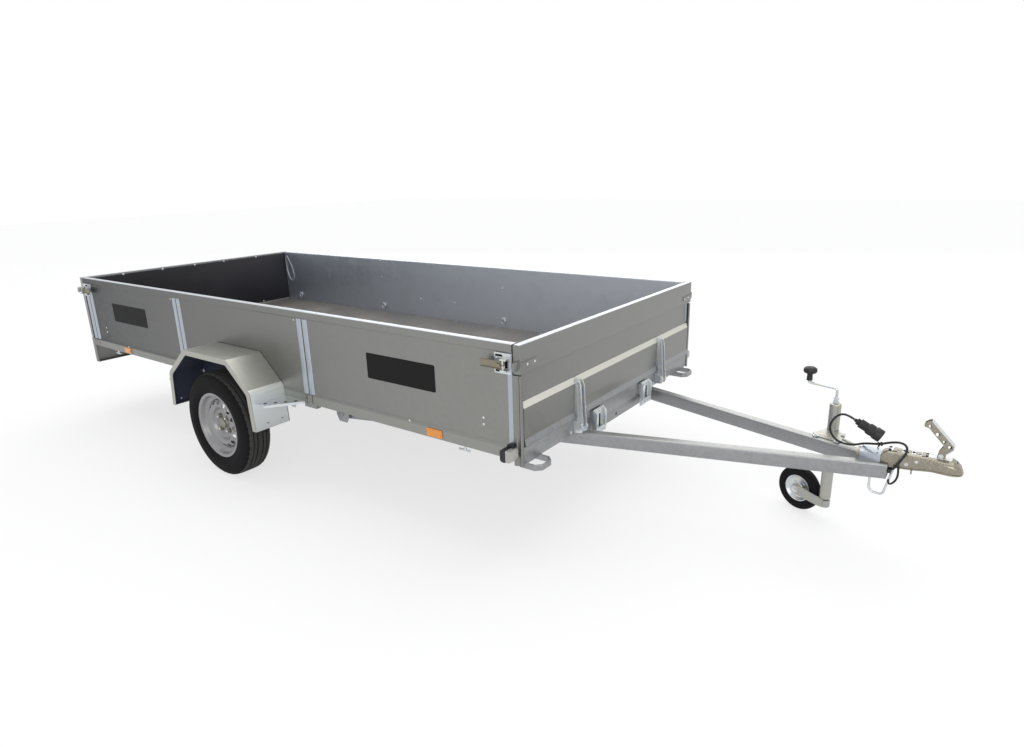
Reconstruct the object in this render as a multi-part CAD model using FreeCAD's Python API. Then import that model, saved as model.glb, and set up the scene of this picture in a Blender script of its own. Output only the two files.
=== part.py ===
import FreeCAD, Part
import os
import math

V = FreeCAD.Vector

# Driving dimensions in millimetres. X runs forward from the axle, Y to the left, Z up from the ground.
TYRE_D = 578.0
TYRE_W = 157.0
RIM_D = 365.0
WHEEL_GAP = 37.0
BOX_L = 3745.0
BOX_W = 1680.0
SIDE_H = 475.0
AXLE_FROM_REAR = 1845.0
FRAME_RISE = 178.0
WALL_T = 38.0
GATE_T = 32.0
RAIL_H = 56.0
FLOOR_RISE = 68.0
FLOOR_T = 12.0
DRAWBAR_REACH = 1414.0
TUBE_H = 60.0
TUBE_W = 48.0
DRAWBAR_DROP = 26.0
PIVOT_SHARE = 0.3763
PIVOT_INSET = 105.5
NOSE_SETBACK = 244.0
STRAP_Y = 418.0
POST_X = 588.0
POST_W = 90.0
FENDER_REACH = 115.0
FENDER_BACK = 16.0
FENDER_ABOVE = 112.0
FENDER_BELOW = 46.0
SHEET = 2.5
JOCKEY_TUBE_D = 48.0
JOCKEY_WHEEL_D = 210.0
JOCKEY_TURN = 22.0
JOCKEY_BACK = 497.0
JOCKEY_Y = 232.0
BALL_D = 50.0
CORNER_W = 18.0
HUB_PAD = 18.0
GAP = 5.0
RUN = 0.05

R = TYRE_D / 2
HALF_W = BOX_W / 2
INNER = HALF_W - WALL_T
X_REAR = -AXLE_FROM_REAR
X_FRONT = BOX_L - AXLE_FROM_REAR
X_TIP = X_FRONT + DRAWBAR_REACH
SIDE_Z = R + FRAME_RISE
TOP_Z = SIDE_Z + SIDE_H
FLOOR_Z = SIDE_Z + FLOOR_RISE
WALL_X0 = X_REAR + GATE_T + GAP
WALL_X1 = X_FRONT - GATE_T - GAP
BEAM_Z0 = SIDE_Z - 17
BEAM_Z1 = SIDE_Z + 52
BAND_Z = TOP_Z - 117
WHEEL_Y = HALF_W + WHEEL_GAP + TYRE_W / 2
TUBE_Z1 = SIDE_Z - DRAWBAR_DROP
TUBE_Z0 = TUBE_Z1 - TUBE_H
TUBE_END = X_TIP - NOSE_SETBACK
PIVOT_X = X_FRONT * PIVOT_SHARE
SLOPE = (HALF_W - PIVOT_INSET - TUBE_W) / (TUBE_END - PIVOT_X)
HINGE_Y = HALF_W / 1.5
PIVOT_Z = (TUBE_Z0 + TUBE_Z1) / 2
BALL_X = X_TIP - 45
BALL_Z = TUBE_Z1 + 13
JOCKEY_X = X_TIP - JOCKEY_BACK
STRAP_PIN_X = X_FRONT + 25
STRAP_PIN_Z = SIDE_Z + 8
TAIL_PIN_X = X_REAR - 12
TAIL_PIN_Z = SIDE_Z + 58
LAMP_DEPTH = 38.0
X_BACK = X_REAR - LAMP_DEPTH
SHIFT_X = -(X_BACK + X_TIP) / 2
ARM_X = 112.0
ARM_Z = R + 108
REPORT = []


def box(x0, x1, y0, y1, z0, z1):
    lo = V(min(x0, x1), min(y0, y1), min(z0, z1))
    return Part.makeBox(abs(x1 - x0), abs(y1 - y0), abs(z1 - z0), lo)


def rod(a, b, radius):
    a = V(*a)
    b = V(*b)
    return Part.makeCylinder(radius, (b - a).Length, a, b - a)


def plate_xz(points, y0, y1):
    pts = [V(x, y0, z) for x, z in points]
    face = Part.Face(Part.makePolygon(pts + [pts[0]]))
    return face.extrude(V(0, y1 - y0, 0))


def plate_xy(points, z0, z1):
    pts = [V(x, y, z0) for x, y in points]
    face = Part.Face(Part.makePolygon(pts + [pts[0]]))
    return face.extrude(V(0, 0, z1 - z0))


def fuse(shapes):
    out = shapes[0]
    if len(shapes) > 1:
        out = out.fuse(shapes[1:])
    return out.removeSplitter()


def cut(shape, tools):
    for tool in tools:
        shape = shape.cut(tool)
    return shape


def mirrored(shape):
    return shape.mirror(V(0, 0, 0), V(0, 1, 0))


def solids_of(shapes):
    out = []
    for shape in shapes:
        out.extend(shape.Solids)
    return out


def group(shapes):
    solids = solids_of(shapes)
    if len(solids) == 1:
        return solids[0]
    return Part.makeCompound(solids)


def pair(shape):
    return group([shape, mirrored(shape)])


def revolved_y(points, centre):
    cx, cy, cz = centre
    pts = [V(cx, cy + y, cz + r) for r, y in points]
    face = Part.Face(Part.makePolygon(pts + [pts[0]]))
    return face.revolve(V(cx, cy, cz), V(0, 1, 0), 360)


def save(name, shape):
    shape = shape.copy()
    shape.translate(V(SHIFT_X, 0, 0))
    if not shape.isValid():
        print("not valid", name)
    volume = shape.Volume / 1e9
    REPORT.append((name, len(shape.Solids), volume))
    shape.exportStep("parts/" + name + ".step")


def cord(route, diameter, name):
    pts = [V(*p) for p in route]
    runs = [(b - a).Length for a, b in zip(pts, pts[1:])]
    edges = []
    radii = []
    length = 0.0
    here = pts[0]
    for i in range(1, len(pts) - 1):
        a = (pts[i] - pts[i - 1]).normalize()
        b = (pts[i + 1] - pts[i]).normalize()
        half = a.getAngle(b) / 2
        reach = 0.45 * min(runs[i - 1], runs[i])
        radius = reach / math.tan(half)
        radii.append(round(radius, 1))
        start = pts[i] - a * reach
        stop = pts[i] + b * reach
        towards = (b - a).normalize()
        mid = pts[i] + towards * (radius / math.cos(half) - radius)
        edges.append(Part.LineSegment(here, start).toShape())
        edges.append(Part.Arc(start, mid, stop).toShape())
        length += (start - here).Length + radius * 2 * half
        here = stop
    edges.append(Part.LineSegment(here, pts[-1]).toShape())
    length += (pts[-1] - here).Length
    wire = Part.Wire(edges)
    first = (pts[1] - pts[0]).normalize()
    ring = Part.Wire([Part.makeCircle(diameter / 2, pts[0], first)])
    tube = wire.makePipeShell([ring], True, False)
    ideal = math.pi * diameter * diameter / 4 * length
    print(name, "length", round(length, 1), "radii", radii, "volume ratio", round(tube.Volume / ideal, 4))
    return tube


# Load bed

def floor():
    return box(WALL_X0, WALL_X1, -INNER, INNER, FLOOR_Z - FLOOR_T, FLOOR_Z)


def wall_post(x, width, z0):
    y0 = HALF_W - 4
    half = width / 2
    flute = width * 0.36
    low = plate_xy([(x - half, y0), (x - half + 6, HALF_W), (x - half + flute - 6, HALF_W),
                    (x - half + flute, y0)], z0, TOP_Z - 36)
    high = plate_xy([(x + half - flute, y0), (x + half - flute + 6, HALF_W), (x + half - 6, HALF_W),
                     (x + half, y0)], z0, TOP_Z - 36)
    return [low, high]


def side_wall():
    core = box(WALL_X0, WALL_X1, INNER, HALF_W - 4, SIDE_Z, TOP_Z)
    rim = box(WALL_X0, WALL_X1, INNER, HALF_W, TOP_Z - 36, TOP_Z)
    rail = box(WALL_X0, WALL_X1, INNER, HALF_W, SIDE_Z, SIDE_Z + RAIL_H)
    parts = [core, rim, rail]
    for x in (-POST_X, POST_X):
        parts += wall_post(x, POST_W, SIDE_Z + RAIL_H)
    parts += wall_post(WALL_X0 + 60, 100, SIDE_Z + RAIL_H)
    parts.append(box(WALL_X1 - 27, WALL_X1, HALF_W - 4, HALF_W, SIDE_Z + RAIL_H, TOP_Z - 36))
    foot = box(POST_X - POST_W / 2, POST_X + POST_W / 2, HALF_W - 30, HALF_W, SIDE_Z - 20, SIDE_Z)
    return fuse(parts + [foot])


def corner_posts():
    y0 = HALF_W - CORNER_W
    front = box(WALL_X1, X_FRONT, y0, HALF_W, BEAM_Z0 - 5, BAND_Z - GAP)
    slot = box(WALL_X1 + 4, X_FRONT - 4, y0 - 1, HALF_W - 4, BEAM_Z1, BAND_Z)
    return cut(front, [slot])


def cross_member(x):
    z0 = SIDE_Z
    z1 = FLOOR_Z - FLOOR_T
    outer = box(x - 20, x + 20, -INNER, INNER, z0, z1)
    inner = box(x - 17, x + 21, -INNER, INNER, z0 + 3, z1 - 3)
    return outer.cut(inner)


def cross_members():
    inner_l = WALL_X1 - WALL_X0
    step = inner_l / 7
    return group([cross_member(WALL_X0 + step * (i + 1)) for i in range(6)])


def front_beam():
    x0 = WALL_X1
    x1 = X_FRONT - 4
    y = HALF_W - CORNER_W
    outer = box(x0, x1, -y, y, BEAM_Z0, BEAM_Z1)
    inner = box(x0 - 1, x1 - 4, -y, y, BEAM_Z0 + 4, BEAM_Z1 - 4)
    lip = box(x0, x0 + 4, -y, y, BEAM_Z1 - 18, BEAM_Z1)
    return fuse([outer.cut(inner), lip])


def light_panel():
    x0 = X_REAR
    x1 = WALL_X0 - 0.3
    z0 = SIDE_Z - 127
    z1 = TAIL_PIN_Z - 14
    face = box(x0, x0 + 4, -HALF_W, HALF_W, z0, z1)
    top = box(x0, x1, -HALF_W, HALF_W, z1 - 4, z1)
    low = box(x0, x1, -HALF_W, HALF_W, z0, z0 + 4)
    ends = []
    for s in (-1, 1):
        ends.append(box(x0, x1, s * HALF_W, s * (HALF_W - 4), z0, z1))
        ends.append(box(x0, x1, s * (HALF_W - 1), s * (HALF_W - WALL_T + 1), z1 - 4, TAIL_PIN_Z - 3))
    web = box(WALL_X0, WALL_X0 + 4, -INNER, INNER, SIDE_Z - 4, FLOOR_Z - FLOOR_T)
    seat = box(x0, WALL_X0 + 4, -INNER, INNER, SIDE_Z - 4, SIDE_Z)
    return fuse([face, top, low, web, seat] + ends)


def tail_lamp():
    y1 = HALF_W - 30
    z0 = SIDE_Z - 105
    body = box(X_REAR - 12, X_REAR, y1 - 225, y1, z0, z0 + 105)
    return body


def tail_lens():
    y1 = HALF_W - 36
    z0 = SIDE_Z - 99
    return box(X_BACK, X_REAR - 12, y1 - 213, y1, z0, z0 + 93)


def number_plate():
    z0 = SIDE_Z - 112
    return box(X_REAR - 6, X_REAR, -260, 260, z0, z0 + 110)


# Front gate, hinged low on the front beam

def gate_profile():
    x = X_FRONT
    low = BEAM_Z1 + GAP
    ridge = SIDE_Z + 217
    return [(x - GATE_T, BAND_Z), (x - 12, BAND_Z), (x - 12, ridge + 24), (x - 2, ridge),
            (x - 2, low + 30), (x + 6, low + 2), (x + 6, low), (x - GATE_T, low)]


def front_gate():
    y = HALF_W - CORNER_W - GAP
    panel = plate_xz(gate_profile(), -y, y)
    band = box(X_FRONT - GATE_T, X_FRONT, -HALF_W + 2, HALF_W - 2, BAND_Z, TOP_Z)
    slots = []
    for s in (-1, 1):
        slots.append(box(X_FRONT - 2, X_FRONT + 8, s * (STRAP_Y - 24), s * (STRAP_Y + 34), BEAM_Z1, BEAM_Z1 + 46))
    return cut(fuse([panel, band]), slots)


def strap():
    y0 = STRAP_Y - 16
    y1 = STRAP_Y + 16
    x0 = X_FRONT - 2
    x1 = X_FRONT + 28
    z1 = SIDE_Z + 230
    px = STRAP_PIN_X
    pz = STRAP_PIN_Z
    side = [(x0, pz + 75), (px + 12, pz + 40), (x1, z1 - 24), (x1 - 8, z1), (x0, z1)]
    cheeks = []
    for y in (y0, y1 - 4):
        upright = plate_xz(side, y, y + 4)
        leg = plate_xz([(px - 15, pz), (px + 15, pz), (px + 13, pz + 60), (x0, pz + 76),
                        (x0, pz + 54), (px - 15, pz + 40)], y, y + 4)
        eye = rod((px, y, pz), (px, y + 4, pz), 15)
        cheeks.append(fuse([upright, leg, eye]))
    spine = box(x0, x0 + 4, y0, y1, pz + 62, z1)
    out = fuse(cheeks + [spine])
    bore = rod((px, y0 - 1, pz), (px, y1 + 1, pz), 6 + RUN)
    hole = rod((X_FRONT + 14, y0 - 1, z1 - 20), (X_FRONT + 14, y1 + 1, z1 - 20), 7)
    return cut(out, [bore, hole])


def strap_bracket():
    x0 = X_FRONT - 4
    px = STRAP_PIN_X
    pz = STRAP_PIN_Z
    out = [box(x0, x0 + 4, STRAP_Y - 23, STRAP_Y + 23, BEAM_Z0 + 8, BEAM_Z1 - 2)]
    for y in (STRAP_Y - 23, STRAP_Y + 18):
        out.append(plate_xz([(x0, BEAM_Z0 + 8), (px + 12, BEAM_Z0 + 13), (px + 19, pz + 10), (px + 8, pz + 28),
                             (x0, BEAM_Z1 - 2)], y, y + 5))
    pin = rod((px, STRAP_Y - 27, pz), (px, STRAP_Y + 27, pz), 6)
    return fuse(out + [pin])


def lock_plate():
    y0 = 200.0
    y1 = 290.0
    x0 = X_FRONT - 4
    z0 = TUBE_Z0 + 8
    z1 = BEAM_Z1 - 2
    spacer = box(x0, x0 + 9, y0 + 6, y1 - 6, BEAM_Z0, BEAM_Z1 - 12)
    face = box(x0 + 9, x0 + 14, y0, y1, z0, z1)
    ear = plate_xz([(x0 + 14, z0), (x0 + 30, z0 + 12), (x0 + 34, BEAM_Z1 - 20), (x0 + 14, z1)], y0, y0 + 5)
    ear_2 = plate_xz([(x0 + 14, z0), (x0 + 30, z0 + 12), (x0 + 34, BEAM_Z1 - 20), (x0 + 14, z1)], y1 - 5, y1)
    bolt = rod((x0 + 24, y0 - 8, z0 + 30), (x0 + 24, y1 + 8, z0 + 30), 5)
    return fuse([spacer, face, ear, ear_2, bolt])


# Tailgate, hinged behind its lower edge

def tailgate_board():
    x0 = X_REAR + 12
    x1 = X_REAR + GATE_T
    return box(x0, x1, -HALF_W + 14, HALF_W - 14, TAIL_PIN_Z + 14, TOP_Z - 12)


def tailgate_frame():
    x0 = X_REAR
    x1 = X_REAR + GATE_T
    z0 = TAIL_PIN_Z + 2
    outer = box(x0, x1, -HALF_W + 2, HALF_W - 2, z0, TOP_Z)
    board = box(x0 + 12, x1 + 1, -HALF_W + 14, HALF_W - 14, z0 + 12, TOP_Z - 12)
    back = box(x0 - 1, x0 + 4, -HALF_W + 20, HALF_W - 20, z0 + 50, TOP_Z - 50)
    out = cut(outer, [board, back])
    parts = [out]
    px = TAIL_PIN_X
    for y in (-HINGE_Y, 0, HINGE_Y):
        for d in (-46, 20):
            leaf = box(px, x0, y + d, y + d + 26, z0 - 10, z0 + 40)
            eye = rod((px, y + d, TAIL_PIN_Z), (px, y + d + 26, TAIL_PIN_Z), 11)
            lug = fuse([leaf, eye])
            parts.append(lug)
    out = fuse(parts)
    bores = []
    for y in (-HINGE_Y, 0, HINGE_Y):
        bores.append(rod((px, y - 60, TAIL_PIN_Z), (px, y + 60, TAIL_PIN_Z), 5 + RUN))
    return cut(out, bores)


def tail_hinge():
    px = TAIL_PIN_X
    out = []
    for y in (-HINGE_Y, 0, HINGE_Y):
        knuckle = rod((px, y - 14, TAIL_PIN_Z), (px, y + 14, TAIL_PIN_Z), 11)
        leaf = box(px, X_REAR, y - 14, y + 14, TAIL_PIN_Z - 55, TAIL_PIN_Z - 12)
        neck = box(px - 8, px + 6, y - 14, y + 14, TAIL_PIN_Z - 20, TAIL_PIN_Z - 4)
        pin = rod((px, y - 52, TAIL_PIN_Z), (px, y + 52, TAIL_PIN_Z), 5)
        out.append(fuse([knuckle, leaf, neck, pin]))
    return group(out)


# Latches at the four top corners

def latch(front):
    s = 1 if front else -1
    edge = WALL_X1 if front else WALL_X0
    y = HALF_W
    z = TOP_Z - 81
    base = box(edge - s * 82, edge - s * 2, y, y + 4, z - 40, z + 44)
    ear_1 = box(edge - s * 36, edge - s * 6, y + 4, y + 32, z - 24, z - 18)
    ear_2 = box(edge - s * 36, edge - s * 6, y + 4, y + 32, z + 20, z + 26)
    lever = box(edge - s * 136, edge - s * 25, y + 22, y + 26, z - 16, z + 16)
    pin = rod((edge - s * 26, y + 24, z - 26), (edge - s * 26, y + 24, z + 28), 4)
    post = box(edge - s * 80, edge - s * 66, y, y + 22, z - 8, z + 8)
    return fuse([base, ear_1, ear_2, lever, pin, post])


def catch(front):
    s = 1 if front else -1
    face = X_FRONT if front else X_REAR
    z = TOP_Z - 81
    wrap = box(face - s * (GATE_T - 4), face, HALF_W - 2, HALF_W + 2, z - 18, z + 18)
    front_leaf = box(face, face + s * 3, HALF_W - 112, HALF_W + 2, z - 16, z + 12)
    hook = box(face - s * 14, face - s * 6, HALF_W + 2, HALF_W + 30, z - 18, z + 18)
    return fuse([wrap, front_leaf, hook])


# Fenders, axle and wheels

def fender_outline(inset):
    half = R + FENDER_REACH - inset
    knee_z = R + 246 - inset * 0.35
    knee_x = R + 98 - inset
    top_x = R - 84 - inset * 0.45
    top_z = 2 * R + FENDER_ABOVE - inset
    low = R + FENDER_BELOW
    knee = FENDER_BACK * 0.7
    return [(-half - FENDER_BACK, low), (-knee_x - knee, knee_z), (-top_x, top_z), (top_x, top_z),
            (knee_x - knee, knee_z), (half - FENDER_BACK, low)]


def fender(wall):
    y0 = HALF_W - 4
    y1 = WHEEL_Y + TYRE_W / 2 + 4
    outer = fender_outline(0)
    inner = fender_outline(SHEET)
    low = R + FENDER_BELOW
    shell = plate_xz(outer + inner[::-1], y0, y1)
    lip_in = fender_outline(30)
    lip = plate_xz(outer + lip_in[::-1], y1 - SHEET, y1)
    flange = []
    for s in (-1, 1):
        x = s * (R + FENDER_REACH - SHEET) - FENDER_BACK
        flange.append(box(x, x - s * 18, y0, y1, low, low + SHEET))
    return cut(fuse([shell, lip] + flange), [wall])


def gusset(guard):
    x0 = R + 88
    x1 = x0 + 176
    z0 = SIDE_Z + 7
    y0 = HALF_W
    y1 = WHEEL_Y + TYRE_W / 2 - 55
    plate = plate_xy([(x0, y0), (x1, y0), (x1, y0 + 10), (x0 + 30, y1), (x0, y1)], z0, z0 + 4)
    rail = box(x0 + 14, x1, y0, y0 + 4, z0 - 16, z0)
    weld = box(x0, x0 + 16, y0 + 10, y1, z0 - 14, z0)
    hook = box(x0 + 56, x0 + 86, y0, y0 + 4, SIDE_Z - 42, z0)
    holes = [guard, rod((x0 + 71, y0 - 1, SIDE_Z - 28), (x0 + 71, y0 + 5, SIDE_Z - 28), 8)]
    for i in range(4):
        x = x0 + 28 + i * 38
        y = y0 + 10 + (y1 - y0 - 28) * (1 - i / 3.2)
        holes.append(rod((x, y, z0 - 1), (x, y, z0 + 5), 8))
    return cut(fuse([plate, rail, weld, hook]), holes)


def axle_beam():
    y = HALF_W - 2
    beam = box(ARM_X - 30, ARM_X + 30, -y, y, ARM_Z - 30, ARM_Z + 30)
    core = box(ARM_X - 26, ARM_X + 26, -y, y, ARM_Z - 26, ARM_Z + 26)
    parts = [beam.cut(core)]
    top = SIDE_Z
    for s in (-1, 1):
        ya = s * (HALF_W - 10)
        yb = s * (HALF_W - 70)
        parts.append(box(ARM_X - 70, ARM_X + 70, ya, yb, top - 8, top))
        for x in (-36, 30):
            parts.append(box(ARM_X + x, ARM_X + x + 6, ya, yb, ARM_Z - 26, top - 4))
    return fuse(parts)


def axle_arm():
    y0 = HALF_W - 2
    pad = WHEEL_Y + HUB_PAD
    arm = [(ARM_X - 34, ARM_Z + 34), (ARM_X + 34, ARM_Z + 34), (ARM_X + 34, ARM_Z - 20), (30, R - 34),
           (-30, R - 30), (-34, R + 26)]
    plate = plate_xz(arm, y0, y0 + 16)
    boss = rod((0, y0 + 10, R), (0, y0 + 30, R), 30)
    stub = rod((0, y0 + 20, R), (0, pad + 8, R), 17)
    return fuse([plate, boss, stub])


def hub():
    y0 = HALF_W + 34
    pad = WHEEL_Y + HUB_PAD
    body = rod((0, y0, R), (0, pad, R), 38)
    flange = rod((0, pad - 10, R), (0, pad, R), 68)
    nose = rod((0, pad, R), (0, pad + 18, R), 27)
    cap = Part.makeSphere(25, V(0, pad + 8, R))
    cap = cap.common(box(-40, 40, pad + 6, pad + 50, R - 40, R + 40))
    bore = rod((0, y0 - 1, R), (0, pad + 10, R), 17 + RUN)
    out = cut(fuse([body, flange, nose, cap]), [bore])
    studs = []
    for i in range(4):
        a = math.radians(45 + 90 * i)
        x = 50 * math.cos(a)
        z = R + 50 * math.sin(a)
        studs.append(rod((x, pad, z), (x, pad + 24, z), 6))
        studs.append(rod((x, pad + 5, z), (x, pad + 17, z), 9.5))
    return fuse([out] + studs)


def rim_profile():
    f = RIM_D / 2
    w = TYRE_W * 0.435
    return [(f, w), (f, w - 4), (f - 13, w - 8), (f - 17, w - 30), (f - 42, w - 42), (f - 42, -w + 40),
            (f - 17, -w + 28), (f - 13, -w + 8), (f, -w + 4), (f, -w), (f - 17, -w), (f - 21, -w + 26),
            (f - 46, -w + 38), (f - 46, w - 40), (f - 21, w - 28), (f - 17, w)]


def rim():
    centre = (0, WHEEL_Y, R)
    barrel = revolved_y(rim_profile(), centre)
    f = RIM_D / 2
    w = TYRE_W * 0.435
    pad = HUB_PAD
    disc = [(f - 44, w - 48), (f - 44, w - 42), (f - 49, w - 20), (98, w - 20), (86, pad + 20), (76, pad + 5),
            (30, pad + 5), (30, pad), (80, pad), (90, pad + 16), (100, w - 25), (f - 55, w - 25), (f - 50, w - 48)]
    disc = revolved_y(disc, centre)
    out = fuse([barrel, disc])
    holes = []
    for i in range(16):
        a = math.radians(22.5 * i)
        r = f - 65
        x = r * math.cos(a)
        z = R + r * math.sin(a)
        holes.append(rod((x, WHEEL_Y, z), (x, WHEEL_Y + w, z), 10.5))
    for i in range(4):
        a = math.radians(45 + 90 * i)
        x = 50 * math.cos(a)
        z = R + 50 * math.sin(a)
        holes.append(rod((x, WHEEL_Y + pad - 8, z), (x, WHEEL_Y + pad + 10, z), 6.3))
    return cut(out, holes)


def tyre():
    f = RIM_D / 2
    w = TYRE_W * 0.435
    h = TYRE_W / 2
    side = [(f - 12.8, w - 9.5), (f + 0.4, w - 4.8), (f + 0.4, w + 1), (f + 12, h - 5), (f + 38, h), (R - 46, h - 1),
            (R - 18, h - 8), (R - 7, h - 18), (R, h - 34)]
    inner = [(R - 12, h - 30), (R - 40, h - 14), (f + 20, h - 12), (f - 5, w - 20)]
    foot = [(f - 8, w - 34), (f - 16.4, w - 29)]
    half = side[::-1] + foot[::-1] + inner[::-1]
    return revolved_y([(r, -y) for r, y in half] + half[::-1], (0, WHEEL_Y, R))


# Drawbar

def tube_y(x):
    return TUBE_W + SLOPE * (TUBE_END - x)


def drawbar_tube():
    x0 = PIVOT_X + 10
    x1 = TUBE_END
    lean = math.sqrt(1 + SLOPE * SLOPE)
    wall = 3 * lean
    outer = plate_xy([(x0, tube_y(x0)), (x1, tube_y(x1)), (x1, tube_y(x1) - TUBE_W), (x0, tube_y(x0) - TUBE_W)],
                     TUBE_Z0, TUBE_Z1)
    e = 5
    inner = plate_xy([(x0 - e, tube_y(x0 - e) - wall), (x1 + e, tube_y(x1 + e) - wall),
                      (x1 + e, tube_y(x1 + e) - TUBE_W + wall), (x0 - e, tube_y(x0 - e) - TUBE_W + wall)],
                     TUBE_Z0 + 3, TUBE_Z1 - 3)
    half = box(x0 - TUBE_W, x1 + TUBE_W, 0, BOX_W, 0, TOP_Z)
    return outer.common(half).cut(inner)


def pivot_sleeve():
    y1 = tube_y(PIVOT_X) + 4
    sleeve = rod((PIVOT_X, y1 - 69, PIVOT_Z), (PIVOT_X, y1, PIVOT_Z), 24)
    bore = rod((PIVOT_X, y1 - 75, PIVOT_Z), (PIVOT_X, y1 + 5, PIVOT_Z), 10 + RUN)
    return sleeve.cut(bore), bore


def drawbar():
    tube = drawbar_tube()
    sleeve, bore = pivot_sleeve()
    tube = tube.cut(bore)
    side = fuse([tube, sleeve])
    x = X_FRONT - 45
    ya = tube_y(x) - TUBE_W - 0.5
    bar = box(x - 20, x + 20, -ya, ya, TUBE_Z0, TUBE_Z1)
    core = box(x - 17, x + 17, -ya, ya, TUBE_Z0 + 3, TUBE_Z1 - 3)
    hole = rod((x - 30, 0, PIVOT_Z - 6), (x + 30, 0, PIVOT_Z - 6), 8)
    bar = bar.cut(core).cut(hole)
    ends = plate_xy([(x - 20, tube_y(x - 20) - TUBE_W), (x + 20, tube_y(x + 20) - TUBE_W), (x + 20, ya - 20),
                     (x - 20, ya - 20)], TUBE_Z0, TUBE_Z1)
    ring = ends.cut(box(x - 17, x + 17, 0, ya + 30, TUBE_Z0 + 3, TUBE_Z1 - 3))
    return fuse([side, mirrored(side), bar, ring, mirrored(ring)])


def pivot_bracket():
    y1 = tube_y(PIVOT_X) + 4
    z1 = SIDE_Z
    outline = [(PIVOT_X - 45, z1), (PIVOT_X - 45, PIVOT_Z - 10), (PIVOT_X - 28, PIVOT_Z - 44), (PIVOT_X + 28, PIVOT_Z - 44),
               (PIVOT_X + 45, PIVOT_Z - 10), (PIVOT_X + 45, z1)]
    cheeks = []
    for y in (y1 + 3, y1 - 78):
        cheeks.append(plate_xz(outline, y, y + 6))
    top = box(PIVOT_X - 45, PIVOT_X + 45, y1 - 78, INNER + 20, z1 - 6, z1)
    pin = rod((PIVOT_X, y1 - 84, PIVOT_Z), (PIVOT_X, y1 + 16, PIVOT_Z), 10)
    return fuse(cheeks + [top, pin])


def nose_box():
    x0 = TUBE_END - 104
    x1 = TUBE_END - 28
    y = 36
    z1 = TUBE_Z1 + 29
    outer = box(x0, x1, -y, y, TUBE_Z1, z1)
    core = box(x0 - 1, x1 + 1, -y + 4, y - 4, TUBE_Z1 + 4, z1 + 1)
    return outer.cut(core)


def nose_rod():
    e = TUBE_END
    z = TUBE_Z1
    r = 5
    route = [(e - 62, 0, z), (e - 59, 0, z - 128), (e - 48, 0, z - 144), (e - 8, 0, z - 148), (e + 20, 0, z - 16)]
    legs = [rod(a, b, r) for a, b in zip(route, route[1:])]
    for p in route[1:-1]:
        legs.append(Part.makeSphere(r, V(*p)))
    return fuse(legs)


def coupling():
    e = TUBE_END
    z = TUBE_Z1
    shank = box(e - 116, e - 20, -32, 32, z + 4, z + 30)
    side = [(e + 0.5, z - 12), (e + 0.5, z + 0.5), (e - 26, z + 0.5), (e - 26, z + 40), (e - 8, z + 51),
            (BALL_X - 100, z + 53), (BALL_X - 10, z + 50), (BALL_X - 10, z + 4), (BALL_X - 70, z + 2),
            (BALL_X - 124, z - 9)]
    body = plate_xz(side, -33, 33)
    hollow = plate_xz([(e + 5, z - 14), (e + 5, z + 47), (BALL_X - 100, z + 49), (BALL_X - 36, z + 47),
                       (BALL_X - 36, z - 10)], -29, 29)
    dome = Part.makeSphere(44, V(BALL_X, 0, BALL_Z))
    dome = dome.common(box(BALL_X - 60, BALL_X + 60, -60, 60, BALL_Z - 9, BALL_Z + 50))
    collar = rod((BALL_X, 0, BALL_Z - 9), (BALL_X, 0, BALL_Z + 6), 45)
    socket = Part.makeSphere(BALL_D / 2 + 0.5, V(BALL_X, 0, BALL_Z))
    mouth = rod((BALL_X, 0, BALL_Z - 40), (BALL_X, 0, BALL_Z), BALL_D / 2 + 0.5)
    out = fuse([shank, cut(body, [hollow]), dome, collar])
    return cut(out, [socket, mouth])


def coupling_handle():
    x = BALL_X - 34
    z = TUBE_Z1 + 53
    outline = [(x - 13, z), (x + 13, z), (x + 16, z + 18), (x + 37, z + 40), (x + 39, z + 56), (x - 43, z + 143),
               (x - 55, z + 139), (x - 68, z + 128), (x - 67, z + 116), (x - 52, z + 113), (x + 5, z + 52),
               (x - 9, z + 24)]
    cheeks = [plate_xz(outline, -14, -11), plate_xz(outline, 11, 14)]
    spine = plate_xz([(x + 37, z + 40), (x + 39, z + 56), (x - 43, z + 143), (x - 45, z + 140),
                      (x + 36, z + 54), (x + 34, z + 41)], -14, 14)
    root = box(x - 13, x + 13, -14, 14, z - 3, z + 4)
    holes = []
    for hx, hz, r in ((x + 24, z + 51, 6), (x + 4, z + 68, 5), (x - 20, z + 93, 7), (x - 48, z + 121, 5)):
        holes.append(rod((hx, -20, hz), (hx, 20, hz), r))
    return cut(fuse(cheeks + [spine, root]), holes)


# Jockey wheel

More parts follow.
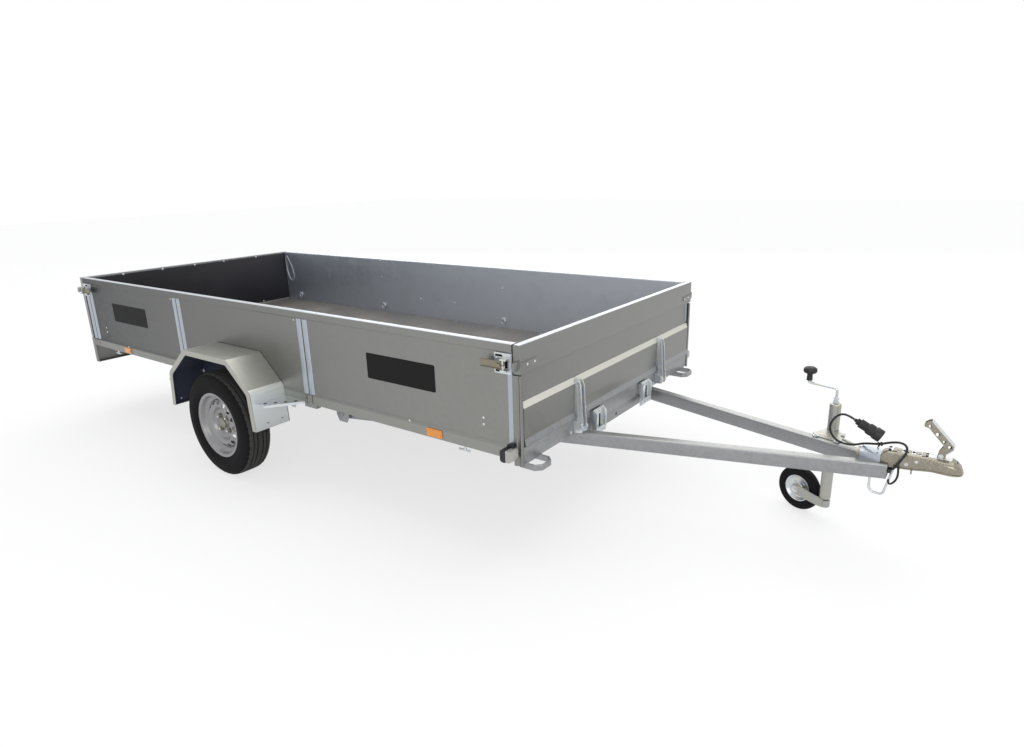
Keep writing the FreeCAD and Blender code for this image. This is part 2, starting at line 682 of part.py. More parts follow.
def jockey_clamp():
    x = JOCKEY_X
    y = JOCKEY_Y
    r = JOCKEY_TUBE_D / 2 + 0.3
    z0 = TUBE_Z0 + 12
    z1 = TUBE_Z1 - 6
    ring = rod((x, y, z0), (x, y, z1), r + 7)
    arm = plate_xy([(x - 50, tube_y(x - 50)), (x + 50, tube_y(x + 50)), (x + 22, y - 8), (x - 22, y - 8)],
                   z0 + 4, z1 - 4)
    flange = plate_xy([(x - 62, tube_y(x - 62)), (x + 62, tube_y(x + 62)), (x + 62, tube_y(x + 62) + 6),
                       (x - 62, tube_y(x - 62) + 6)], z0 - 4, z1 + 4)
    top = plate_xy([(x - 60, tube_y(x - 60) - 20), (x + 60, tube_y(x + 60) - 20), (x + 26, y - 14), (x - 26, y - 14)],
                   TUBE_Z1, TUBE_Z1 + 4)
    web = plate_xy([(x - 24, y - 16), (x + 24, y - 16), (x + 24, y - 36), (x - 24, y - 36)], z1 - 6, TUBE_Z1 + 4)
    boss = box(x + r, x + r + 26, y - 13, y + 13, z0 + 8, z1 - 8)
    screw = rod((x + r + 14, y - 13, PIVOT_Z), (x + r + 30, y - 54.6, PIVOT_Z + 14.6), 6)
    bar = rod((x + r + 6, y - 52, PIVOT_Z + 22), (x + r + 78, y - 60, PIVOT_Z), 6.5)
    hole = rod((x, y, z0 - 20), (x, y, z1 + 40), r)
    out = fuse([ring, arm, flange, top, web, boss])
    out = cut(out, [hole])
    return fuse([out, screw, bar])


def jockey_tube():
    x = JOCKEY_X
    y = JOCKEY_Y
    z0 = 113.0
    z1 = TUBE_Z1 + 122
    ro = JOCKEY_TUBE_D / 2
    outer = rod((x, y, z0), (x, y, z1), ro)
    bore = rod((x, y, z0 - 1), (x, y, z1 - 6), ro - 3)
    collar = rod((x, y, z1), (x, y, z1 + 34), 11)
    nut = rod((x, y, z1 + 6), (x, y, z1 + 20), 15)
    spindle = rod((x, y, z1 + 34), (x, y, z1 + 66), 6)
    arm = rod((x, y, z1 + 66), (x - 117, y, z1 + 78), 6)
    elbow = Part.makeSphere(6, V(x, y, z1 + 66))
    elbow_2 = Part.makeSphere(6, V(x - 117, y, z1 + 78))
    stem = rod((x - 117, y, z1 + 78), (x - 117, y, z1 + 88), 6)
    return fuse([outer.cut(bore), collar, nut, spindle, arm, elbow, elbow_2, stem])


def jockey_knob():
    x = JOCKEY_X - 117
    y = JOCKEY_Y
    z = TUBE_Z1 + 122 + 88
    stem = rod((x, y, z), (x, y, z + 42), 13)
    pts = [V(x, y, z + 34), V(x + 14, y, z + 34), V(x + 28, y, z + 43), V(x + 28, y, z + 52), V(x + 18, y, z + 60),
           V(x, y, z + 63)]
    face = Part.Face(Part.makePolygon(pts + [pts[0]]))
    head = face.revolve(V(x, y, 0), V(0, 0, 1), 360)
    return fuse([stem, head])


def jockey_leg():
    x = JOCKEY_X
    y = JOCKEY_Y
    r = JOCKEY_TUBE_D / 2 - 3 - RUN
    z1 = TUBE_Z1 + 20
    body = rod((x, y, 109), (x, y, z1), r)
    core = rod((x, y, 124), (x, y, z1 + 1), 15)
    stub = rod((x, y, 82), (x, y, 110), 12)
    return fuse([body.cut(core), stub])


def fork_arm_y():
    return JOCKEY_Y - JOCKEY_TUBE_D / 2 - 2


def swivelled(shape):
    out = shape.copy()
    out.rotate(V(JOCKEY_X, JOCKEY_Y, 0), V(0, 0, 1), -JOCKEY_TURN)
    return out


def jockey_fork():
    x = JOCKEY_X
    y = JOCKEY_Y
    rw = JOCKEY_WHEEL_D / 2
    hub_x = x - rw - 31
    ya = fork_arm_y()
    foot = rod((x, y, 70), (x, y, 104), JOCKEY_TUBE_D / 2)
    arm = plate_xz([(x + 6, 74), (x + 6, 102), (x - 20, 104), (hub_x, rw + 17), (hub_x, rw - 15), (x - 20, 78)],
                   ya, ya + 8)
    end = rod((hub_x, ya, rw), (hub_x, ya + 8, rw), 17)
    yc = ya + 8 + 6 + 21
    axle = rod((hub_x, ya - 6, rw), (hub_x, yc + 27, rw), 8)
    nut = rod((hub_x, ya - 9, rw), (hub_x, ya, rw), 12)
    bore = rod((x, y, 81), (x, y, 105), 12 + RUN)
    room = rod((x, y, 104), (x, y, 130), JOCKEY_TUBE_D / 2 + 6)
    return cut(fuse([foot, arm, end, axle, nut]), [bore, room])


def jockey_wheel():
    rw = JOCKEY_WHEEL_D / 2
    x = JOCKEY_X - rw - 31
    ya = fork_arm_y()
    yc = ya + 8 + 6 + 21
    d = rw * 0.7
    disc = [(8 + RUN, -20), (18, -20), (20, -8), (d - 10, -8), (d - 4, -16), (d, -16), (d, 16), (d - 4, 16),
            (d - 10, 8), (20, 8), (18, 20), (8 + RUN, 20)]
    rim_part = revolved_y(disc, (x, yc, rw))
    rubber = [(d + 0.2, -17), (d + 8, -21), (rw - 8, -21), (rw, -12), (rw, 12), (rw - 8, 21), (d + 8, 21),
              (d + 0.2, 17)]
    return rim_part, revolved_y(rubber, (x, yc, rw))


# Small fittings

def front_loop():
    y0 = HALF_W - 152
    y1 = HALF_W - 44
    x0 = X_FRONT - 44
    x1 = X_FRONT + 54
    z0 = BEAM_Z0 - 31
    z1 = BEAM_Z0 - 5
    outer = plate_xy([(x0, y0), (x1 - 24, y0), (x1, y0 + 24), (x1, y1 - 24), (x1 - 24, y1), (x0, y1)], z0, z1)
    inner = plate_xy([(x0 - 1, y0 + 6), (x1 - 27, y0 + 6), (x1 - 6, y0 + 27), (x1 - 6, y1 - 27), (x1 - 27, y1 - 6),
                      (x0 - 1, y1 - 6)], z0 - 1, z1 + 1)
    top = box(x0, X_FRONT - 4, y0, y1, z1, BEAM_Z0)
    return fuse([outer.cut(inner), top])


def marker_base():
    x0 = X_FRONT - 66
    return box(x0, x0 + 26, HALF_W, HALF_W + 58, SIDE_Z + 8, SIDE_Z + 62)


def marker_lens():
    x0 = X_FRONT - 40
    return box(x0, x0 + 28, HALF_W + 4, HALF_W + 58, SIDE_Z + 10, SIDE_Z + 60)


def side_reflectors():
    out = []
    for x in (X_FRONT - BOX_L * 0.1234, X_REAR + BOX_L * 0.1415):
        out.append(box(x - 45, x + 45, HALF_W, HALF_W + 6, SIDE_Z + 6, SIDE_Z + 44))
    return group(out)


def lashing_ring(x):
    y = INNER
    z = FLOOR_Z + 52
    plate = box(x - 18, x + 18, y - 4, y, z - 14, z + 18)
    ring = Part.makeTorus(17, 4, V(x, y - 8.2, z - 8), V(0, 1, 0))
    eye = box(x - 8, x + 8, y - 13, y - 4, z + 4, z + 13)
    return fuse([plate, ring, eye])


def lashing_rings():
    xs = [WALL_X0 + 180, -POST_X, POST_X, WALL_X1 - 180]
    return group([lashing_ring(x) for x in xs])


def rope_hook(x):
    z = SIDE_Z
    plate = box(x - 22, x + 22, HALF_W - 36, HALF_W - 8, z - 5, z)
    stem = rod((x, HALF_W - 22, z - 30), (x, HALF_W - 22, z - 4), 6)
    bar = rod((x - 34, HALF_W - 22, z - 28), (x + 26, HALF_W - 22, z - 28), 5)
    return fuse([plate, stem, bar])


def rope_hooks():
    return group([rope_hook(x) for x in (X_FRONT - 310, X_REAR + 330)])


def plug():
    a = V(TUBE_END - 146, 34, TUBE_Z1 + 134)
    d = V(104, 0, -53)
    d.normalize()
    sizes = [(0, 24, 14), (24, 58, 19), (58, 88, 22), (88, 118, 26)]
    return fuse([Part.makeCylinder(r, s1 - s0, a + d * s0, d) for s0, s1, r in sizes])


def electric_cable():
    e = TUBE_END
    z = TUBE_Z1
    route = [(e - 12, -20, z - 26), (e + 14, -43, z - 22), (e + 32, -51, z + 8), (e + 46, -53, z + 40),
             (e + 58, -47, z + 66), (e + 54, -26, z + 84), (e + 30, -4, z + 86), (e - 6, 8, z + 74),
             (e - 42, 14, z + 56),
             (e - 80, 25, z + 47), (e - 108, 41, z + 35), (e - 130, 55, z + 20), (e - 168, 67, z + 8),
             (e - 212, 72, z + 16), (e - 240, 66, z + 60), (e - 230, 54, z + 108), (e - 202, 44, z + 143),
             (e - 171, 36, z + 147.5), (e - 146.6, 34, z + 134.3)]
    return cord(route, 9, "electric cable")


def safety_cable():
    e = TUBE_END
    z = TUBE_Z1
    route = [(e + 36, -38, z - 2), (e + 40, -45, z - 28), (e + 37, -51, z - 50), (e + 24, -50, z - 72),
             (e + 9, -32, z - 83), (e + 6, -6.4, z - 78)]
    return cord(route, 8, "safety cable")


def gate_wire():
    x = WALL_X0 + 12
    y = INNER - 2.3
    z = TOP_Z - 30
    route = [(x + 14, y, z), (x - 2, y, z - 40), (x + 2, y, z - 100), (x + 16, y, z - 160), (x + 40, y, z - 206),
             (x + 72, y, z - 216), (x + 94, y, z - 186), (x + 92, y, z - 128), (x + 70, y, z - 76), (x + 40, y, z - 30),
             (x + 26, y, z - 2)]
    return cord(route, 4, "gate wire")


def build():
    os.makedirs("parts", exist_ok=True)
    wall = side_wall()
    save("floor", floor())
    save("side_wall_left", wall)
    save("side_wall_right", mirrored(wall))
    save("corner_posts", pair(corner_posts()))
    save("cross_members", cross_members())
    save("front_beam", front_beam())
    save("light_panel", light_panel())
    save("tail_lamp_bases", pair(tail_lamp()))
    save("tail_lamp_lenses", pair(tail_lens()))
    save("number_plate", number_plate())
    save("front_gate", front_gate())
    save("gate_straps", pair(strap()))
    save("strap_brackets", pair(strap_bracket()))
    save("lock_plates", pair(lock_plate()))
    save("tailgate_board", tailgate_board())
    save("tailgate_frame", tailgate_frame())
    save("tailgate_hinges", tail_hinge())
    save("latches", group([pair(latch(True)), pair(latch(False))]))
    save("front_catches", pair(catch(True)))
    save("rear_catches", pair(catch(False)))
    guard = fender(wall)
    save("fender_left", guard)
    save("fender_right", mirrored(guard))
    save("fender_gussets", pair(gusset(guard)))
    save("axle_beam", axle_beam())
    save("axle_arms", pair(axle_arm()))
    for side, turn in (("left", False), ("right", True)):
        for name, shape in (("hub", hub()), ("rim", rim()), ("tyre", tyre())):
            save(name + "_" + side, mirrored(shape) if turn else shape)
    save("drawbar", drawbar())
    save("pivot_brackets", pair(pivot_bracket()))
    save("nose_box", nose_box())
    save("nose_rod", nose_rod())
    head = coupling()
    save("coupling", head)
    save("coupling_handle", coupling_handle().cut(head))
    save("jockey_clamp", jockey_clamp())
    save("jockey_tube", jockey_tube())
    save("jockey_knob", jockey_knob())
    save("jockey_leg", jockey_leg())
    save("jockey_fork", swivelled(jockey_fork()))
    disc, rubber = jockey_wheel()
    save("jockey_disc", swivelled(disc))
    save("jockey_tyre", swivelled(rubber))
    save("front_loops", pair(front_loop()))
    save("marker_bases", pair(marker_base()))
    save("marker_lenses", pair(marker_lens()))
    save("side_reflectors", pair(side_reflectors()))
    save("lashing_rings", pair(lashing_rings()))
    save("rope_hooks", pair(rope_hooks()))
    end = plug()
    save("plug", end)
    save("electric_cable", electric_cable().cut(end))
    save("safety_cable", safety_cable())
    save("gate_wires", pair(gate_wire()))


build()
total = 0.0
for name, count, volume in REPORT:
    total += volume
    print(name, count, round(volume * 1e6, 1), "cm3")
print("total m3", round(total, 5), "shift", round(SHIFT_X, 2))
turn = math.radians(JOCKEY_TURN)
back = JOCKEY_WHEEL_D / 2 + 31
side = fork_arm_y() + 35 - JOCKEY_Y
hub_place = (JOCKEY_X + SHIFT_X - back * math.cos(turn) + side * math.sin(turn),
             JOCKEY_Y + back * math.sin(turn) + side * math.cos(turn), JOCKEY_WHEEL_D / 2)
for label, value in (("PIVOT", (PIVOT_X + SHIFT_X, PIVOT_Z)), ("STRAP", (STRAP_PIN_X + SHIFT_X, STRAP_PIN_Z)),
                     ("TAIL", (TAIL_PIN_X + SHIFT_X, TAIL_PIN_Z)), ("JOCKEY", (JOCKEY_X + SHIFT_X, JOCKEY_Y)),
                     ("WHEEL", (SHIFT_X, WHEEL_Y, R)), ("BALL", (BALL_X + SHIFT_X, BALL_Z)),
                     ("FORK", hub_place), ("AXIS", (1000 * math.sin(turn), 1000 * math.cos(turn)))):
    print(label, [round(v, 2) for v in value])
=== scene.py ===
import math

import bmesh
import bpy
from mathutils import Matrix, Vector


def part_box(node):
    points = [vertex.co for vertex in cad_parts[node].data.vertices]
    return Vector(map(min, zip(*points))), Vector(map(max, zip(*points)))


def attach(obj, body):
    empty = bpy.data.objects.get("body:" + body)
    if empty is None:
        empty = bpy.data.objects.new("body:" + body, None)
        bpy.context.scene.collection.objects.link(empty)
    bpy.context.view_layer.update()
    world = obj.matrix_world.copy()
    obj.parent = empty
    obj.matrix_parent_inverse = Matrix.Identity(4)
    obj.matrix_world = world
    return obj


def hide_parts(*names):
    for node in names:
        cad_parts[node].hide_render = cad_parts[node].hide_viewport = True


bl_info = {
    "name": "Utility trailer",
    "version": (1, 0, 0),
    "blender": (4, 5, 0),
    "location": "View3D > Sidebar > Trailer",
    "description": "Dresses the packed frame of a galvanised utility trailer",
    "category": "Object",
}

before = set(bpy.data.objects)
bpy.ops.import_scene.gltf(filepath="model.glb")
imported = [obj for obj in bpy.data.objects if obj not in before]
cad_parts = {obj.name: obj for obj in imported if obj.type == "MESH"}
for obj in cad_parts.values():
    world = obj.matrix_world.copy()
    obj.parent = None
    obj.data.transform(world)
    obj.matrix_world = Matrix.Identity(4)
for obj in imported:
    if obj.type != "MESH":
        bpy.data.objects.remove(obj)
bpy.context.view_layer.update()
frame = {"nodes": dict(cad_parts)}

# Places that the dressed pieces share, in millimetres, with x running forward from the axle. They are read from
# the frame, and the plain numbers are details that it doesn't tell.
AXLE_X = sum(p.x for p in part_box("tyre_left")) / 2


def reach(node):
    """Lowest and highest corner of a CAD node, in millimetres from the axle."""
    lo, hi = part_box(node)
    shift = Vector((AXLE_X, 0, 0))
    return (lo - shift) * 1000, (hi - shift) * 1000


WHEEL_LO, WHEEL_HI = reach("tyre_left")
WHEEL_Y = (WHEEL_LO.y + WHEEL_HI.y) / 2
TYRE_W = WHEEL_HI.y - WHEEL_LO.y
R = WHEEL_HI.z / 2
RIM_LO, RIM_HI = reach("rim_left")
RIM_D = RIM_HI.z - RIM_LO.z
WALL_LO, WALL_HI = reach("side_wall_left")
WALL_X0 = WALL_LO.x
WALL_X1 = WALL_HI.x
INNER = WALL_LO.y
HALF_W = WALL_HI.y
TOP_Z = WALL_HI.z
SIDE_Z = reach("cross_members")[0].z
FLOOR_Z = reach("floor")[1].z
X_REAR = reach("light_panel")[0].x
X_FRONT = reach("corner_posts")[1].x
BEAM_LO, BEAM_HI = reach("front_beam")
BEAM_Z0 = BEAM_LO.z
BEAM_Z1 = BEAM_HI.z
GATE_LO = reach("front_gate")[0]
GATE_T = 32.0
BAND_H = 117.0
BAND_Z = TOP_Z - BAND_H
RAIL_H = 56.0
RIM_H = 36.0
LATCH_Z = TOP_Z - 81
RING_Z = FLOOR_Z + 52
STICKER_Z = (677, 798)
STICKER_X = ((1037, 1456), (-1432, -990))
TAIL_LAMP_W = 225.0
POST_X = 588.0
CORNER_W = 18.0
STRAP_Y = 418.0
FENDER_REACH = 115.0
FENDER_ABOVE = 112.0
FENDER_BELOW = 46.0
FENDER_KNEE = 246.0
FENDER_BACK = 16.0
HUB_PAD = 18.0
BAR_LO, BAR_HI = reach("drawbar")
TUBE_END = BAR_HI.x
TUBE_Z0 = BAR_LO.z
TUBE_Z1 = BAR_HI.z
TUBE_W = 48.0
PIVOT_X = BAR_LO.x + 24
PIVOT_Z = (TUBE_Z0 + TUBE_Z1) / 2
SLOPE = (BAR_HI.y - 4 - TUBE_W) / (TUBE_END - PIVOT_X)
X_TIP = reach("coupling")[1].x
BALL_X = X_TIP - 45
BALL_Z = TUBE_Z1 + 13
HANDLE_X = BALL_X - 34
HANDLE_Z = TUBE_Z1 + 53
JACK_LO, JACK_HI = reach("jockey_leg")
JACK_X = (JACK_LO.x + JACK_HI.x) / 2
JACK_Y = (JACK_LO.y + JACK_HI.y) / 2
JACK_R = 24.0
JACK_TURN = math.radians(22)
JACK_TOP = TUBE_Z1 + 122
CRANK = 117.0
SOCKET_R = 25.5
BOLT_RING = 50.0
VENTS = 16
STUDS = 4
TREAD_STEPS = 192
BLOCK_STEPS = 4
SEAT_W = TYRE_W * 0.435
SIDES = (("left", 1), ("right", -1))


def placed(p):
    """A point in axle millimetres as a place in the row frame."""
    return Vector((AXLE_X + p[0] / 1000, p[1] / 1000, p[2] / 1000))


def swivelled(p):
    """A place near the jockey mast, turned round it as the parked wheel stands."""
    x = p[0] - JACK_X
    y = p[1] - JACK_Y
    c = math.cos(JACK_TURN)
    s = math.sin(JACK_TURN)
    return Vector((JACK_X + x * c + y * s, JACK_Y - x * s + y * c, p[2]))


# Mesh under construction

class Shape:
    """Solids gathered in one mesh, in axle millimetres."""

    def __init__(self):
        self.bm = bmesh.new()

    def add(self, verts, faces):
        made = [self.bm.verts.new(v) for v in verts]
        for face in faces:
            self.bm.faces.new([made[i] for i in face])
        return self

    def prism(self, outline, axis, a, b):
        """A closed outline across axis, drawn out from a to b."""
        put = {
            "x": lambda u, v, w: (w, u, v),
            "y": lambda u, v, w: (u, w, v),
            "z": lambda u, v, w: (u, v, w),
        }[axis]
        n = len(outline)
        verts = [put(u, v, a) for u, v in outline] + [put(u, v, b) for u, v in outline]
        faces = [tuple(range(n))[::-1], tuple(range(n, 2 * n))]
        faces += [(i, (i + 1) % n, n + (i + 1) % n, n + i) for i in range(n)]
        return self.add(verts, faces)

    def box(self, x0, x1, y0, y1, z0, z1):
        return self.prism([(x0, y0), (x1, y0), (x1, y1), (x0, y1)], "z", z0, z1)

    def lathe(self, profile, centre, axis, segments, closed=False):
        """(radius, height) pairs turned about axis through centre."""
        axis = Vector(axis).normalized()
        side = axis.orthogonal().normalized()
        other = axis.cross(side)
        centre = Vector(centre)
        rings = []
        for s in range(segments):
            a = 2 * math.pi * s / segments
            out = side * math.cos(a) + other * math.sin(a)
            rings.append([centre + out * r + axis * h for r, h in profile])
        return self.hoop(rings, closed)

    def hoop(self, profiles, closed=True):
        """Profiles that stand round an axis, each joined to the next and the last to the first."""
        n = len(profiles[0])
        faces = []
        for s in range(len(profiles)):
            t = (s + 1) % len(profiles)
            for i in range(n if closed else n - 1):
                j = (i + 1) % n
                faces.append((s * n + i, t * n + i, t * n + j, s * n + j))
        return self.add([v for profile in profiles for v in profile], faces)

    def rod(self, a, b, radius, segments, edge=0.0):
        """A round bar from a to b, with its ends chamfered by edge."""
        a = Vector(a)
        b = Vector(b)
        h = (b - a).length
        if edge:
            profile = [(0, 0), (radius - edge, 0), (radius, edge), (radius, h - edge), (radius - edge, h), (0, h)]
        else:
            profile = [(0, 0), (radius, 0), (radius, h), (0, h)]
        return self.lathe(profile, a, b - a, segments)

    def ring(self, centre, axis, radius, thick, segments, sides):
        """A round bar bent to a full circle."""
        return self.lathe([(radius + u, v) for u, v in around(sides, thick)], centre, axis, segments, True)

    def tube(self, points, radius, sides):
        """A round bar along points, with both ends closed."""
        points = [Vector(p) for p in points]
        rings = []
        normal = None
        for i, p in enumerate(points):
            way = (points[min(i + 1, len(points) - 1)] - points[max(i - 1, 0)]).normalized()
            if normal is None:
                normal = way.orthogonal().normalized()
            normal = (normal - way * normal.dot(way)).normalized()
            across = way.cross(normal)
            rings.append([p + normal * u + across * v for u, v in around(sides, radius)])
        return self.loft(rings)

    def loft(self, rings):
        """Closed rings of equal count joined in order, with both ends closed."""
        n = len(rings[0])
        verts = [v for ring in rings for v in ring]
        faces = [tuple(range(n))[::-1], tuple(range(len(verts) - n, len(verts)))]
        for r in range(len(rings) - 1):
            for i in range(n):
                j = (i + 1) % n
                faces.append((r * n + i, r * n + j, (r + 1) * n + j, (r + 1) * n + i))
        return self.add(verts, faces)

    def mirror(self):
        """Adds the same shape on the other side of the trailer."""
        made = bmesh.ops.duplicate(self.bm, geom=self.bm.verts[:] + self.bm.edges[:] + self.bm.faces[:])
        for v in [g for g in made["geom"] if isinstance(g, bmesh.types.BMVert)]:
            v.co.y = -v.co.y
        return self

    def flip(self):
        """Moves the shape to the other side of the trailer."""
        for v in self.bm.verts:
            v.co.y = -v.co.y
        return self

    def turned(self):
        """Swings the shape round the jockey mast, as the parked wheel stands."""
        for v in self.bm.verts:
            v.co = swivelled(v.co)
        return self

    def mesh(self, name):
        """Ends the shape and gives its mesh, in the row frame."""
        for v in self.bm.verts:
            v.co = placed(v.co)
        bmesh.ops.remove_doubles(self.bm, verts=self.bm.verts, dist=1e-6)
        bmesh.ops.recalc_face_normals(self.bm, faces=self.bm.faces)
        mesh = bpy.data.meshes.new(name)
        self.bm.to_mesh(mesh)
        self.bm.free()
        return mesh


def linked(name, data):
    obj = bpy.data.objects.new(name, data)
    bpy.context.scene.collection.objects.link(obj)
    return obj


def baked(obj):
    """The object with its evaluated mesh in place of its modifiers."""
    graph = bpy.context.evaluated_depsgraph_get()
    mesh = bpy.data.meshes.new_from_object(obj.evaluated_get(graph), preserve_all_data_layers=True, depsgraph=graph)
    obj.modifiers.clear()
    obj.data = mesh
    return obj


def without(obj, cutters):
    """Takes the cutters' volumes out of the object."""
    for shape in cutters:
        tool = linked("cutter", shape.mesh("cutter"))
        mod = obj.modifiers.new("cut", "BOOLEAN")
        mod.operation = "DIFFERENCE"
        mod.solver = "EXACT"
        mod.object = tool
        baked(obj)
        bpy.data.objects.remove(tool)
    return obj


def piece(shape, name, body, finish, bevel=0.0, steps=2, angle=32, stands_for=(), cuts=()):
    """A finished, named piece that rides on its body. Bevel is in millimetres."""
    material = MATERIALS[finish]
    obj = linked(name, shape.mesh(name) if isinstance(shape, Shape) else shape)
    if cuts:
        without(obj, cuts)
    obj.data.shade_smooth()
    if bevel:
        mod = obj.modifiers.new("edges", "BEVEL")
        mod.width = bevel / 1000
        mod.segments = steps
        mod.limit_method = "ANGLE"
        mod.angle_limit = math.radians(angle)
        mod.harden_normals = True
        baked(obj)
    else:
        obj.data.set_sharp_from_angle(angle=math.radians(angle))
    obj.data.materials.clear()
    obj.data.materials.append(material)
    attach(obj, body)
    if stands_for:
        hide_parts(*stands_for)
    return obj


def softened(node, body, finish, bevel, steps=2, angle=32):
    """A copy of a CAD node with its edges rounded, in place of the node."""
    bm = bmesh.new()
    bm.from_mesh(frame["nodes"][node].data)
    bmesh.ops.remove_doubles(bm, verts=bm.verts, dist=2e-5)
    bmesh.ops.dissolve_limit(bm, angle_limit=math.radians(0.6), verts=bm.verts, edges=bm.edges)
    mesh = bpy.data.meshes.new(node + "_edges")
    bm.to_mesh(mesh)
    bm.free()
    return piece(mesh, node + "_edges", body, finish, bevel, steps, angle, (node,))


def arc(before, corner, after, radius, steps):
    """The points that round a corner, or the corner alone where it is sharp or straight."""
    p = Vector(corner)
    a = Vector(before) - p
    b = Vector(after) - p
    half = a.angle(b) / 2
    if radius <= 0 or half > math.radians(88):
        return [p]
    run = min(radius / math.tan(half), 0.45 * a.length, 0.45 * b.length)
    r = run * math.tan(half)
    centre = p + (a.normalized() + b.normalized()).normalized() * (r / math.sin(half))
    start = p + a.normalized() * run - centre
    end = p + b.normalized() * run - centre
    return [centre + start.lerp(end, k / steps).normalized() * r for k in range(steps + 1)]


def filleted(points, radius, steps=4):
    """A closed outline with its corners rounded by one radius, or one for each corner."""
    radii = radius if isinstance(radius, (list, tuple)) else [radius] * len(points)
    corners = zip(points[-1:] + points[:-1], points, points[1:] + points[:1], radii)
    return [tuple(p) for corner in corners for p in arc(*corner, steps)]


def filleted_path(points, radius, steps=5):
    """An open line with its corners rounded."""
    bends = [p for corner in zip(points, points[1:], points[2:]) for p in arc(*corner, radius, steps)]
    return [Vector(points[0])] + bends + [Vector(points[-1])]


def rounded(a0, a1, b0, b1, radius):
    """A rectangle from a0 to a1 and b0 to b1 with rounded corners."""
    return filleted([(a0, b0), (a1, b0), (a1, b1), (a0, b1)], radius)


def around(count, radius, start=0.0):
    """Points spaced evenly on a circle, as (across, up). The first stands at start degrees."""
    turns = [math.radians(start + 360 / count * i) for i in range(count)]
    return [(radius * math.cos(a), radius * math.sin(a)) for a in turns]


def curved(points, steps):
    """A smooth line through the points, with steps points for each stretch."""
    pts = [Vector(p) for p in points]
    pts = [pts[0] * 2 - pts[1]] + pts + [pts[-1] * 2 - pts[-2]]
    out = []
    for i in range(1, len(pts) - 2):
        a, b, c, d = pts[i - 1:i + 3]
        for k in range(steps):
            t = k / steps
            out.append(tuple((b * 2 + (c - a) * t + (a * 2 - b * 5 + c * 4 - d) * t * t
                              + (b * 3 - a - c * 3 + d) * t ** 3) / 2))
    return out + [tuple(pts[-2])]


# Shader and geometry nodes

def feed(tree, socket, value):
    """Links a value to the socket, or sets it there."""
    if isinstance(value, Value):
        value = value.out
    if isinstance(value, bpy.types.NodeSocket):
        tree.links.new(value, socket)
    elif socket.type == "RGBA" and len(value) == 3:
        socket.default_value = (*value, 1)
    else:
        socket.default_value = value


def add_node(tree, kind, settings=None, **sockets):
    """A node with its settings and sockets filled in. A socket's name has _ for a space."""
    node = tree.nodes.new(kind)
    for key, value in (settings or {}).items():
        setattr(node, key, value)
    for key, value in sockets.items():
        feed(tree, node.inputs[key.replace("_", " ")], value)
    return node


class Value:
    """One shader socket, with arithmetic that adds its Math nodes."""

    def __init__(self, tree, out):
        self.tree = tree
        self.out = out

    def math(self, operation, other=None, swap=False):
        node = self.tree.nodes.new("ShaderNodeMath")
        node.operation = operation
        pair = (other, self) if swap else (self, other)
        for socket, item in zip(node.inputs, pair):
            if item is not None:
                feed(self.tree, socket, item)
        return Value(self.tree, node.outputs[0])

    def __add__(self, other):
        return self.math("ADD", other)

    def __radd__(self, other):
        return self.math("ADD", other)

    def __sub__(self, other):
        return self.math("SUBTRACT", other)

    def __rsub__(self, other):
        return self.math("SUBTRACT", other, True)

    def __mul__(self, other):
        return self.math("MULTIPLY", other)

    def __rmul__(self, other):
        return self.math("MULTIPLY", other)

    def __truediv__(self, other):
        return self.math("DIVIDE", other)

    def __gt__(self, other):
        return self.math("GREATER_THAN", other)

    def __lt__(self, other):
        return self.math("LESS_THAN", other)

    def clamped(self):
        out = self.math("MAXIMUM", 0.0)
        return out.math("MINIMUM", 1.0)


# Repeated heads of rivets, bolts and screws

HEAD_SOCKETS = (("Places", "INPUT", "Geometry"), ("Height", "INPUT", "Float"), ("Finish", "INPUT", "Material"),
                ("Heads", "OUTPUT", "Geometry"))
# Sides, radius and share of the height: the hexagon, its washer and the end of the bolt.
BOLT_PARTS = ((6, 1.0, 1.0), (20, 1.45, 0.3), (12, 0.52, 1.5))


def head_tree(kind):
    """Geometry Nodes that set one head on every point, along its dir and by its size."""
    tree = bpy.data.node_groups.new(kind + "_heads", "GeometryNodeTree")
    for label, way, sort in HEAD_SOCKETS:
        tree.interface.new_socket(label, in_out=way, socket_type="NodeSocket" + sort)
    source = add_node(tree, "NodeGroupInput").outputs
    if kind == "rivet":
        solids = [(add_node(tree, "GeometryNodeMeshUVSphere", Segments=14, Rings=8, Radius=1.0), 1.0)]
    else:
        solids = [(add_node(tree, "GeometryNodeMeshCylinder", Vertices=sides, Radius=radius, Depth=2.0), share)
                  for sides, radius, share in BOLT_PARTS]
    join = add_node(tree, "GeometryNodeJoinGeometry")
    for solid, share in solids:
        scale = add_node(tree, "ShaderNodeCombineXYZ", X=1.0, Y=1.0, Z=Value(tree, source["Height"]) * share)
        move = add_node(tree, "GeometryNodeTransform", Geometry=solid.outputs["Mesh"], Scale=scale.outputs[0])
        tree.links.new(move.outputs[0], join.inputs[0])
    way, size = (add_node(tree, "GeometryNodeInputNamedAttribute", {"data_type": sort}, Name=name)
                 for name, sort in (("dir", "FLOAT_VECTOR"), ("size", "FLOAT")))
    turn = add_node(tree, "FunctionNodeAlignRotationToVector", {"axis": "Z"}, Vector=way.outputs["Attribute"])
    spread = add_node(tree, "GeometryNodeInstanceOnPoints", Points=source["Places"], Instance=join.outputs[0],
                      Rotation=turn.outputs[0], Scale=size.outputs["Attribute"])
    real = add_node(tree, "GeometryNodeRealizeInstances", Geometry=spread.outputs[0])
    paint = add_node(tree, "GeometryNodeSetMaterial", Geometry=real.outputs[0], Material=source["Finish"])
    add_node(tree, "NodeGroupOutput", Heads=paint.outputs[0])
    return tree


